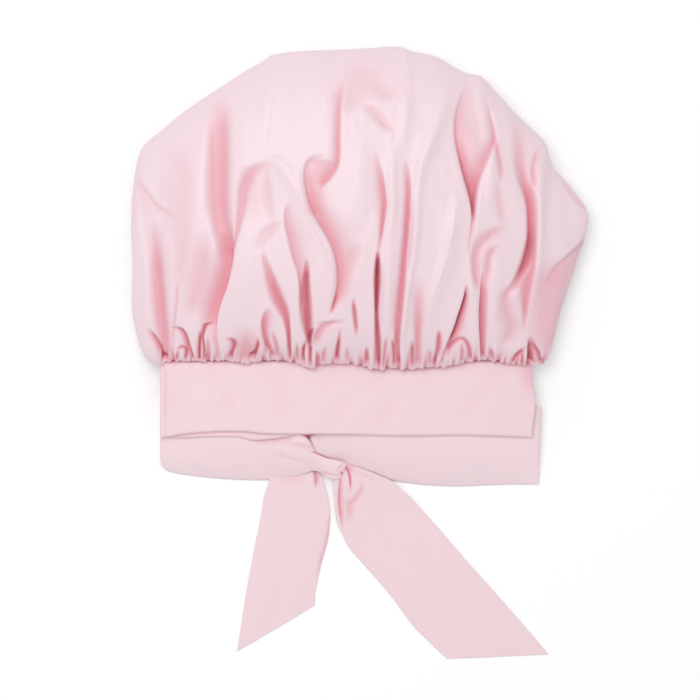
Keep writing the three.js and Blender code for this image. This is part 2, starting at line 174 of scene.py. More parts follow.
@dataclass(frozen=True)
class Creasing:
    """Small seeded ripples that run mostly one way along a sheet."""

    seed: int
    count: int
    finest: float
    coarsest: float
    slant: float = 0.35

    def height(self, across: Grid, along: Grid) -> Grid:
        """Ripple heights of about plus or minus 1.

        Args:
            across: Places across the ripples, in metres.
            along: Places along them, in metres.

        Returns:
            The heights.
        """
        picks = np.random.RandomState(self.seed)
        total = np.zeros_like(across)
        for _ in range(self.count):
            length = np.exp(picks.uniform(np.log(self.finest), np.log(self.coarsest)))
            lean = picks.normal(0.0, self.slant)
            turn, bend, shift = picks.uniform(0, 2 * np.pi, 3)
            sway = 0.35 * length * np.sin(along / (4 * length) + bend)
            patch = 0.5 + 0.5 * np.sin(along / (3.1 * length) + across / (2.3 * length) + shift)
            total += np.sin(2 * np.pi * (across + lean * along + sway) / length + turn) * patch
        return total / np.sqrt(self.count)


@dataclass(frozen=True)
class Plan:
    """The drawing's plan, laid on the part by the place of its front band."""

    left: float
    top: float
    step: float = STEP * MM
    band_left: float = 161.0
    band_top: float = 361.6

    @classmethod
    def on_band(cls) -> Plan:
        """The plan that fits the band's solid."""
        low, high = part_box("front_band")
        return cls(low.x - cls.band_left * cls.step, high.y + cls.band_top * cls.step)

    def x(self, column: Grid | float) -> Grid:
        """Place along X of a column of the plan."""
        return self.left + np.asarray(column) * self.step

    def y(self, row: Grid | float) -> Grid:
        """Place along Y of a row of the plan."""
        return self.top - np.asarray(row) * self.step

    def metres(self, grid: Grid) -> Grid:
        """Points in metres from plan columns, plan rows and heights in millimetres."""
        return np.stack([self.x(grid[..., 0]), self.y(grid[..., 1]), grid[..., 2] * MM], axis=-1)


class Side(Enum):
    """The side of a fold on which its cloth rises softly, seen going down the plan."""

    LEFT = 1
    RIGHT = -1
    BOTH = 0


# A fold's least reach, and how far past its foot it still presses, in steps of the plan
LEAST_REACH = 0.8
PAST_FOOT = 30.0


@dataclass(frozen=True)
class Fold:
    """A fold in the cloth, drawn from its head to its foot along its edge on the plan.

    Each spot of the path holds a column, a row, how far the fold reaches, in steps of the plan,
    and how deep it is there, in millimetres. A negative depth lifts a ridge. On the soft side the
    cloth rises over the fold's reach, and on the other it stands as a wall and rolls over the
    edge. A low fall makes it rise at once, and a high one leaves a flat floor.
    """

    path: tuple[tuple[float, float, float, float], ...]
    soft: Side = Side.BOTH
    # How much painted shade the fold lays into its crease, from 0 to 1
    tint: float = 0.6
    fall: float = 2.0
    wall: float = 1.8
    lip: float = 0.05

    def press(self, spots: Grid) -> tuple[Grid, Grid]:
        """How far the fold presses the cloth in at each spot, and how much painted shade it lays there.

        Args:
            spots: Columns and rows on the plan.

        Returns:
            Depths in millimetres, and shares of painted shade from 0 to 1.
        """
        line = smooth_path(self.path, 6 * len(self.path) + 4)
        margin = 2.2 * line[:, 2].max() + 4.0 * self.wall + 6.0
        low, high = line[:, :2].min(axis=0) - margin, line[:, :2].max(axis=0) + margin
        near = np.all((spots > low) & (spots < high), axis=1)
        falls = bool(np.all(np.diff(line[:, 1]) > 0))
        found = self.beside(spots[near], line) if falls else self.nearest(spots[near], line)
        best, side, reach, deep = found
        most = max((row[3] for row in self.path), key=abs)
        deep = deep * (deep * most > 0)
        reach = np.maximum(reach, LEAST_REACH)
        on_soft = side * self.soft.value >= 0
        rising = np.exp(-((best / reach) ** self.fall))
        standing = bell(best, self.wall) - self.lip * bell(best - 3.0 * self.wall - 1.5, 2.6)
        depth, tone = np.zeros(len(spots)), np.zeros(len(spots))
        depth[near] = deep * np.where(on_soft, rising, standing)
        # Painted shade over the soft side as far as it rises, and in a narrow band at the wall
        crease_shade = np.where(on_soft, rising, bell(best, 0.8 * self.wall))
        tone[near] = self.tint * crease_shade * np.clip(1.5 * deep / most, 0, 1)
        return depth, tone

    @staticmethod
    def beside(spots: Grid, line: Grid) -> tuple[Grid, Grid, Grid, Grid]:
        """Measure the spots across from a line that only runs down.

        Args:
            spots: Columns and rows on the plan.
            line: The line's columns, rows, reaches and depths.

        Returns:
            Each spot's distance, its side, and the line's reach and depth beside it.
        """
        way = np.gradient(line[:, :2], axis=0)
        steep = np.maximum(way[:, 1] / np.hypot(way[:, 0], way[:, 1]), 0.5)
        known = (line[:, 0], line[:, 2], line[:, 3], steep)
        column, reach, deep, steep = (np.interp(spots[:, 1], line[:, 1], values) for values in known)
        off = (column - spots[:, 0]) * steep
        inside = (spots[:, 1] > line[0, 1]) & (spots[:, 1] < line[-1, 1] + PAST_FOOT)
        return np.abs(off), off, reach, deep * inside

    @staticmethod
    def nearest(spots: Grid, line: Grid) -> tuple[Grid, Grid, Grid, Grid]:
        """Measure the spots from the nearest point of a line that curls.

        Args:
            spots: Columns and rows on the plan.
            line: The line's columns, rows, reaches and depths.

        Returns:
            Each spot's distance, its side, and the line's reach and depth beside it.
        """
        best = np.full(len(spots), np.inf)
        side, reach, deep = (np.ones(len(spots)) for _ in range(3))
        for first, second in zip(line[:-1], line[1:]):
            way = second[:2] - first[:2]
            gap = spots - first[:2]
            share = np.clip(gap @ way / (way @ way), 0.0, 1.0)
            off = gap - share[:, None] * way
            distance = np.hypot(off[:, 0], off[:, 1])
            closer = distance < best
            best = np.where(closer, distance, best)
            side = np.where(closer, way[0] * off[:, 1] - way[1] * off[:, 0], side)
            reach = np.where(closer, mix(first[2], second[2], share), reach)
            deep = np.where(closer, mix(first[3], second[3], share), deep)
        return best, side, reach, deep


# Meshes


class Cloth:
    """Makes meshes of cloth from grids of points, and finishes them."""

    @staticmethod
    def alone(piece: bpy.types.Object) -> None:
        """Select one object and nothing else.

        Args:
            piece: The object.
        """
        bpy.ops.object.select_all(action="DESELECT")
        piece.select_set(True)
        bpy.context.view_layer.objects.active = piece

    @staticmethod
    def sheet(name: str, points: Grid, flat: Grid, painted_shade: Grid | None = None) -> bpy.types.Object:
        """Make a sheet from a grid of points.

        Args:
            name: The piece's name.
            points: Rows of points in metres.
            flat: Each point's place on the flat cloth, in metres.
            painted_shade: How much painted shade each point takes, in the folds' shade colours, from 0 to 1.

        Returns:
            The new object.
        """
        rows, columns = points.shape[:2]
        at = np.arange(rows * columns).reshape(rows, columns)
        corners = [at[:-1, :-1], at[1:, :-1], at[1:, 1:], at[:-1, 1:]]
        faces = np.stack([corner.ravel() for corner in corners], axis=1)
        mesh = bpy.data.meshes.new(name)
        mesh.from_pydata(points.reshape(-1, 3).tolist(), [], faces.tolist())
        mesh.polygons.foreach_set("use_smooth", [True] * len(mesh.polygons))
        layer = mesh.uv_layers.new(name="cloth")
        layer.data.foreach_set("uv", flat.reshape(-1, 2)[faces.ravel()].ravel())
        # The painted shade is kept on each point, for the material to read.
        depth = np.zeros(rows * columns) if painted_shade is None else painted_shade.ravel()
        mesh.attributes.new("painted_shade", "FLOAT", "POINT").data.foreach_set("value", depth)
        mesh.update()
        piece = bpy.data.objects.new(name, mesh)
        bpy.context.scene.collection.objects.link(piece)
        return piece

    @classmethod
    def thicken(cls, piece: bpy.types.Object, thickness: float) -> None:
        """Give a sheet its thickness, half of it to each side.

        Args:
            piece: The sheet.
            thickness: In millimetres.
        """
        cls.alone(piece)
        solid = piece.modifiers.new("thickness", "SOLIDIFY")
        solid.thickness = thickness * MM
        solid.offset = 0.0
        bpy.ops.object.modifier_apply(modifier=solid.name)

    @staticmethod
    def area(points: Grid) -> float:
        """Measure a sheet.

        Args:
            points: Its rows of points in metres.

        Returns:
            Its area in square metres.
        """
        a = points[1:, 1:] - points[:-1, :-1]
        b = points[1:, :-1] - points[:-1, 1:]
        return float(np.linalg.norm(np.cross(a, b), axis=2).sum() / 2)


# Finishes


def tone(red: int, green: int, blue: int) -> tuple[float, float, float, float]:
    """Make a shader's colour from screen values.

    Args:
        red: Its red, from 0 to 255.
        green: Its green.
        blue: Its blue.

    Returns:
        The linear colour, fully opaque.
    """
    share = np.array([red, green, blue]) / 255.0
    linear = np.where(share <= 0.04045, share / 12.92, ((share + 0.055) / 1.055) ** 2.4)
    return (float(linear[0]), float(linear[1]), float(linear[2]), 1.0)


class Nodes:
    """A short way to place and join shader nodes."""

    def __init__(self, tree: bpy.types.NodeTree) -> None:
        """Start on an empty tree.

        Args:
            tree: The tree to fill.
        """
        self.tree = tree
        tree.nodes.clear()

    def add(self, kind: str, values: dict[str, object] | None = None, **settings: object) -> bpy.types.Node:
        """Place a node.

        Args:
            kind: The node's type name.
            values: Values of its inputs, by their names.
            **settings: The node's own settings.

        Returns:
            The node.
        """
        node = self.tree.nodes.new(kind)
        for name, value in settings.items():
            setattr(node, name, value)
        for name, value in (values or {}).items():
            node.inputs[name].default_value = value
        return node

    def join(self, output: bpy.types.NodeSocket, target: bpy.types.NodeSocket) -> None:
        """Join an output to an input."""
        self.tree.links.new(output, target)

    def maths(self, operation: str, first: object, second: object) -> bpy.types.NodeSocket:
        """Work out a value from two others, each a number or an output.

        Args:
            operation: The sum to do.
            first: The first number or output.
            second: The second one.

        Returns:
            The result's output.
        """
        node = self.add("ShaderNodeMath", operation=operation)
        for place, value in enumerate((first, second)):
            if isinstance(value, (int, float)):
                node.inputs[place].default_value = value
            else:
                self.join(value, node.inputs[place])
        return node.outputs[0]


# How far each satin thread is shifted against the next, how deep its floats dip, and the scale
# of its uneven spots across and along
THREAD_SHIFT = 1.9
FLOAT_DIP = 0.25
SLUB_SCALE = (900.0, 60.0)


def thread_group() -> bpy.types.NodeTree:
    """Build the woven threads that every cloth shares.

    Returns:
        A group that turns a flat place into the threads' height and shade.
    """
    tree = bpy.data.node_groups.new("woven threads", "ShaderNodeTree")
    face = tree.interface
    face.new_socket("Flat Place", in_out="INPUT", socket_type="NodeSocketVector")
    for name, value in (("Threads", 2600.0), ("Float Length", 5.0), ("Slubs", 1.0)):
        face.new_socket(name, in_out="INPUT", socket_type="NodeSocketFloat").default_value = value
    for name in ("Height", "Shade"):
        face.new_socket(name, in_out="OUTPUT", socket_type="NodeSocketFloat")
    nodes = Nodes(tree)
    inside = nodes.add("NodeGroupInput")
    outside = nodes.add("NodeGroupOutput")
    split = nodes.add("ShaderNodeSeparateXYZ")
    nodes.join(inside.outputs["Flat Place"], split.inputs[0])
    across = nodes.maths("MULTIPLY", split.outputs[0], inside.outputs["Threads"])
    along = nodes.maths("MULTIPLY", split.outputs[1], inside.outputs["Threads"])
    longer = nodes.maths("DIVIDE", along, inside.outputs["Float Length"])
    # Satin has long threads side by side, each shifted against its neighbour.
    ribs = nodes.maths("ABSOLUTE", nodes.maths("SINE", across, 0.0), 0.0)
    shift = nodes.maths("MULTIPLY", nodes.maths("FLOOR", across, 0.0), THREAD_SHIFT)
    steps = nodes.maths("SINE", nodes.maths("ADD", longer, shift), 0.0)
    dip = nodes.maths("ADD", nodes.maths("MULTIPLY", steps, FLOAT_DIP), 1.0 - FLOAT_DIP)
    weave = nodes.maths("MULTIPLY", ribs, dip)
    place = nodes.add("ShaderNodeCombineXYZ")
    for axis, scale in enumerate(SLUB_SCALE):
        nodes.join(nodes.maths("MULTIPLY", split.outputs[axis], scale), place.inputs[axis])
    slubs = nodes.add("ShaderNodeTexNoise", {"Scale": 1.0, "Detail": 3.0})
    nodes.join(place.outputs[0], slubs.inputs["Vector"])
    uneven = nodes.maths("SUBTRACT", slubs.outputs["Fac"], 0.5)
    slub = nodes.maths("MULTIPLY", uneven, inside.outputs["Slubs"])
    nodes.join(nodes.maths("ADD", weave, slub), outside.inputs["Height"])
    nodes.join(nodes.maths("ADD", nodes.maths("MULTIPLY", slub, 0.6), 0.5), outside.inputs["Shade"])
    return tree


@dataclass(frozen=True)
class ClothFinish:
    """A woven finish: a pale face, colours of painted shade for its folds and slits, and its gloss."""

    name: str
    face: tuple[float, float, float, float]
    # Colours of painted shade, for the folds and, darkest, for the slits
    fold: tuple[float, float, float, float]
    slit_shade: tuple[float, float, float, float]
    roughness: float
    sheen: float
    specular: float = 0.5
    threads: float = 2600.0
    float_length: float = 5.0
    slubs: float = 1.0
    weave_depth: float = 0.03
    fold_place: float = 0.72
    cloud_scale: float = 26.0
    cloud_roughness: float = 0.12
    sheen_roughness: float = 0.45
    sheen_tint: tuple[float, float, float, float] = (1.0, 0.93, 0.94, 1.0)
    thread_shade: float = 0.05
    bump: float = 0.25

    def build(self, threads: bpy.types.NodeTree) -> bpy.types.Material:
        """Build the material.

        Args:
            threads: The shared group of woven threads.

        Returns:
            The material.
        """
        material = bpy.data.materials.new(self.name)
        material.use_nodes = True
        nodes = Nodes(material.node_tree)
        out = nodes.add("ShaderNodeOutputMaterial")
        shader = nodes.add(
            "ShaderNodeBsdfPrincipled",
            {
                "Roughness": self.roughness,
                "Specular IOR Level": self.specular,
                "Sheen Weight": self.sheen,
                "Sheen Roughness": self.sheen_roughness,
                "Sheen Tint": self.sheen_tint,
            },
        )
        nodes.join(shader.outputs[0], out.inputs[0])
        flat = nodes.add("ShaderNodeUVMap", uv_map="cloth")
        own = {"Threads": self.threads, "Float Length": self.float_length, "Slubs": self.slubs}
        group = nodes.add("ShaderNodeGroup", node_tree=threads)
        for name, value in own.items():
            group.inputs[name].default_value = value
        nodes.join(flat.outputs[0], group.inputs["Flat Place"])
        painted_shade = nodes.add("ShaderNodeAttribute", attribute_name="painted_shade")
        cloudy = nodes.add("ShaderNodeTexNoise", {"Scale": self.cloud_scale, "Detail": 2.0})
        nodes.join(flat.outputs[0], cloudy.inputs["Vector"])
        # The ramp paints shade by the point's painted shade: the face colour where there is none, then the
        # fold shade, then the slit shade
        colour = nodes.add("ShaderNodeValToRGB")
        stops = colour.color_ramp.elements
        stops[0].color, stops[1].color = self.face, self.slit_shade
        stops.new(self.fold_place).color = self.fold
        nodes.join(painted_shade.outputs["Fac"], colour.inputs["Fac"])
        weak = {"Factor": self.thread_shade}
        shade = nodes.add("ShaderNodeMix", weak, data_type="RGBA", blend_type="OVERLAY")
        nodes.join(colour.outputs["Color"], shade.inputs["A"])
        nodes.join(group.outputs["Shade"], shade.inputs["B"])
        nodes.join(shade.outputs["Result"], shader.inputs["Base Color"])
        rough = nodes.maths("SUBTRACT", cloudy.outputs["Fac"], 0.5)
        rough = nodes.maths("MULTIPLY", rough, self.cloud_roughness)
        nodes.join(nodes.maths("ADD", rough, self.roughness), shader.inputs["Roughness"])
        depth = {"Strength": self.bump, "Distance": self.weave_depth * MM}
        bump = nodes.add("ShaderNodeBump", depth)
        nodes.join(group.outputs["Height"], bump.inputs["Height"])
        nodes.join(bump.outputs[0], shader.inputs["Normal"])
        return material


# Each finish's second and third colours are painted shade, for its folds and for its slits.
SATIN = ClothFinish(
    "pale pink satin",
    tone(250, 225, 233),
    tone(239, 162, 175),
    tone(190, 96, 110),
    roughness=0.38,
    sheen=0.1,
)
BAND_SATIN = ClothFinish(
    "pressed pink satin",
    tone(251, 224, 230),
    tone(242, 172, 183),
    tone(200, 110, 120),
    roughness=0.48,
    sheen=0.1,
    specular=0.4,
)
# The ties' satin is painted lighter than the band's, to make up for their slope away from the lamp.
LIGHTENED_TIE_SATIN = replace(BAND_SATIN, name="pressed pink satin painted lighter for the ties", face=tone(255, 230, 236))
INTERFACING = ClothFinish(
    "white interfacing",
    tone(246, 242, 238),
    tone(225, 218, 212),
    tone(180, 172, 166),
    roughness=0.9,
    sheen=0.1,
    threads=1500.0,
    float_length=1.0,
    slubs=2.0,
    weave_depth=0.08,
)
ELASTIC = ClothFinish(
    "white braided elastic",
    tone(247, 244, 240),
    tone(226, 222, 216),
    tone(180, 176, 170),
    roughness=0.75,
    sheen=0.1,
    threads=1200.0,
    float_length=1.5,
    slubs=0.5,
    weave_depth=0.2,
)


# The crown


# The crown's outline, over its top and past both ends of the band: share across, column and row
TOP_OUTLINE: tuple[tuple[float, float, float], ...] = (
    (0.0, 131.5, 226.0),
    (0.02, 133.0, 192.0),
    (0.038, 138.5, 157.0),
    (0.052, 146.0, 143.5),
    (0.085, 163.0, 130.0),
    (0.12, 177.0, 117.5),
    (0.16, 200.0, 101.0),
    (0.2, 223.0, 86.0),
    (0.235, 247.0, 70.5),
    (0.253, 260.0, 63.5),
    (0.268, 271.0, 56.0),
    (0.28, 280.0, 53.8),
    (0.31, 294.0, 52.0),
    (0.38, 313.0, 51.0),
    (0.46, 342.0, 50.0),
    (0.52, 370.0, 48.5),
    (0.58, 398.0, 47.0),
    (0.61, 412.0, 51.5),
    (0.65, 432.0, 55.5),
    (0.675, 442.0, 60.0),
    (0.7, 455.0, 68.0),
    (0.725, 468.0, 74.0),
    (0.75, 480.5, 76.5),
    (0.775, 493.0, 89.0),
    (0.8, 504.0, 101.0),
    (0.82, 513.0, 111.5),
    (0.86, 531.0, 128.5),
    (0.885, 545.0, 143.0),
    (0.9, 549.0, 156.0),
    (0.91, 553.0, 167.0),
    (0.93, 563.0, 178.0),
    (0.955, 573.5, 190.5),
    (0.98, 583.0, 203.0),
    (1.0, 588.5, 214.5),
)
LOW_LEFT_OUTLINE: tuple[tuple[float, float, float], ...] = (
    (0.0, 131.5, 226.0),
    (0.01, 132.3, 248.0),
    (0.02, 133.6, 286.0),
    (0.03, 132.4, 306.0),
    (0.04, 134.0, 322.0),
    (0.05, 138.5, 341.0),
    (0.06, 144.5, 357.0),
    (0.07, 152.0, 363.5),
    (0.08, 161.0, 366.0),
)
LOW_RIGHT_OUTLINE: tuple[tuple[float, float, float], ...] = (
    (0.92, 533.0, 366.0),
    (0.93, 541.0, 364.5),
    (0.94, 548.5, 357.0),
    (0.95, 554.0, 340.0),
    (0.96, 560.5, 313.0),
    (0.97, 569.0, 286.0),
    (0.98, 577.5, 262.0),
    (0.99, 585.5, 236.0),
    (1.0, 588.5, 214.5),
)

# Where the crown's cloth rolls over the band's top edge
ROLL_LINE: tuple[Spot, ...] = (
    (155, 366), (161, 366), (168, 362.5), (180, 361), (195, 361), (212, 360.5), (230, 360.5), (245, 363.5),
    (258, 361), (270, 359), (285, 360), (300, 363.5), (311, 368), (321, 364), (335, 363), (355, 363.5),
    (366, 366.5), (380, 369.5), (392, 367), (402, 369), (430, 367), (450, 365.5), (470, 361), (485, 359),
    (500, 362.5), (515, 364.5), (532, 366.5), (540, 366),
)

# The folds of the crown's front, from the left to the right. Each one's third value is how much painted shade
# it lays into its crease; the lifted ridges take none.
LEFT_FOLDS: tuple[Fold, ...] = (
    Fold(((222, 94, 8, 0), (221, 108, 9, 1.6), (219.5, 125, 10, 3.6), (219.5, 150, 10.5, 5),
          (219.5, 185, 10.5, 5.5), (220.5, 210, 10, 5.5), (223.5, 230, 9, 4.5), (226.5, 248, 8, 2.5),
          (228, 264, 6, 0)), Side.BOTH, 0.6, 3.0),
    Fold(((232, 224, 6, 0), (232.5, 238, 8, 2.5), (233, 250, 11, 5), (232.5, 262, 13, 7),
          (230, 274, 13.5, 7.5), (227, 286, 14, 8), (222.5, 298, 14, 8), (218.5, 310, 13.5, 7),
          (216.8, 320, 12, 5.5), (216.5, 328, 11, 3), (215.5, 338, 8, 1), (214.5, 350, 5, 0)), Side.LEFT,
         0.72, 2.4, 1.3),
    Fold(((201, 232, 8, 0), (203, 260, 11, 1.2), (200, 285, 12, 1.6), (194, 305, 9, 1), (191, 320, 7, 0)),
         Side.BOTH, 0.3),
    Fold(((216, 323.5, 1.4, 0), (211, 324, 1.8, 2), (206.5, 325.5, 2, 3), (204.5, 330, 2, 3.2),
          (203, 338, 1.8, 3), (204.5, 347, 1.8, 3), (205, 357, 1.8, 3), (205, 372, 1.8, 3)), Side.BOTH, 0.9),
    Fold(((217, 328, 3, 0), (217, 342, 3, 1.5), (219, 352, 3, 1.8), (221, 372, 2.5, 2)), Side.LEFT, 0.45),
    Fold(((154, 222, 5, 0), (155.5, 240, 6, 1.5), (157.5, 262, 6.5, 3), (158.5, 280, 7, 4),
          (160, 300, 7, 4.5), (162, 320, 6.5, 4.5), (164.5, 340, 5.5, 4.5), (167, 357, 4.5, 4),
          (168, 372, 4, 4)), Side.BOTH, 0.62, 2.0),
    Fold(((138, 178, 3, 0), (145, 190, 5, 1.2), (151, 198, 6, 1.2), (158, 206, 7, 1), (168, 213, 8, 0.6),
          (178, 222, 8, 0)), Side.LEFT, 0.25, 1.2, 1.6),
    Fold(((180, 140, 12, 0), (181, 175, 14, 1.2), (181, 210, 14, 1.4), (180, 245, 12, 1.6),
          (179.5, 270, 9, 1.2), (179, 290, 6, 0)), Side.BOTH, 0.14),
    Fold(((178.5, 280, 1.6, 0), (178, 296, 1.8, 0.8), (176.5, 312, 1.8, 0.9), (174.5, 328, 1.8, 0.8),
          (173, 348, 1.8, 0)), Side.BOTH, 0.3),
    Fold(((149, 328, 2, 0), (156, 337, 3.2, 2.6), (161, 347, 3.6, 3.2), (165, 357, 3.4, 3.4),
          (170, 370, 3, 3.2)), Side.LEFT, 0.9, 1.6, 1.1, 0.3),
    Fold(((174, 327, 2, 0), (182, 329, 3.4, 2.6), (187, 336, 4, 3.4), (190, 346, 4, 3.6), (193, 355, 4, 3.6),
          (199, 368, 3, 3.2)), Side.LEFT, 0.9, 2.0, 1.1, 0.3),
    Fold(((178, 352, 1.3, 0), (182, 347.5, 1.7, 1.8), (187, 351, 1.8, 2.4), (186, 362, 1.8, 2.4)), Side.BOTH,
         0.85),
    Fold(((179, 350, 1.4, 0), (178, 358, 1.7, 2), (178, 370, 1.7, 2)), Side.BOTH, 0.8),
    Fold(((201.5, 330, 1.3, 0), (200.5, 340, 1.7, 2.5), (200, 351, 1.8, 3), (200, 372, 1.8, 3)), Side.BOTH,
         1.0),
    Fold(((208.5, 336, 1.2, 0), (209, 346, 1.4, 1.4), (208.5, 357, 1.5, 1.8), (208.5, 372, 1.5, 1.8)),
         Side.BOTH, 0.5),
    Fold(((229.5, 338, 2, 0), (232.5, 340, 2.6, 2.2), (235, 345, 3, 3), (233.5, 351, 2.6, 3.2),
          (231, 356.5, 2.2, 3.4), (232, 371, 2, 3)), Side.BOTH, 0.9),
    Fold(((248, 326, 9, 0), (248, 338, 10, 1.5), (247, 350, 11, 3), (246, 372, 12, 4.2)), Side.BOTH, 0.55),
    Fold(((258.5, 337, 1.3, 0), (258.3, 346, 1.9, 2.6), (255.5, 355, 2.2, 3.4), (252, 361, 2.2, 3.4),
          (250, 372, 2, 3)), Side.BOTH, 0.9),
    Fold(((265, 164, 4, 0), (256, 171, 6.5, 1.4), (248.5, 180, 6, 2), (244.5, 192, 5.5, 2.4),
          (243, 206, 4.6, 2.4), (241, 219, 3.4, 2), (238, 235, 2.2, 1.6), (235, 247, 1.8, 1.4),
          (233, 258, 1.5, 0)), Side.BOTH, 0.5),
    Fold(((256, 172, 8, 0), (254, 190, 9, 0.8), (254, 210, 8, 0.6), (252, 228, 7, 0)), Side.BOTH, 0.16),
    Fold(((266, 168, 3, 0), (267, 185, 4, 0.8), (268, 200, 4.5, 1), (270, 212, 4, 0.8), (272, 224, 3, 0)),
         Side.BOTH, 0.2),
    Fold(((279, 222, 4, 0), (273, 229, 5, 0.9), (267, 237, 5, 1.1), (262, 246, 4, 0.6), (260, 254, 3, 0)),
         Side.BOTH, 0.2),
    Fold(((195, 140, 8, 0), (196, 180, 9, -1.3), (196, 220, 9, -1.4), (192, 255, 8, -1.2), (186, 300, 7, 0)),
         Side.BOTH, 0.0),
    Fold(((250, 205, 10, 0), (249, 240, 12, -1.2), (245, 280, 12, -1.2), (240, 320, 11, 0)), Side.BOTH, 0.0),
)

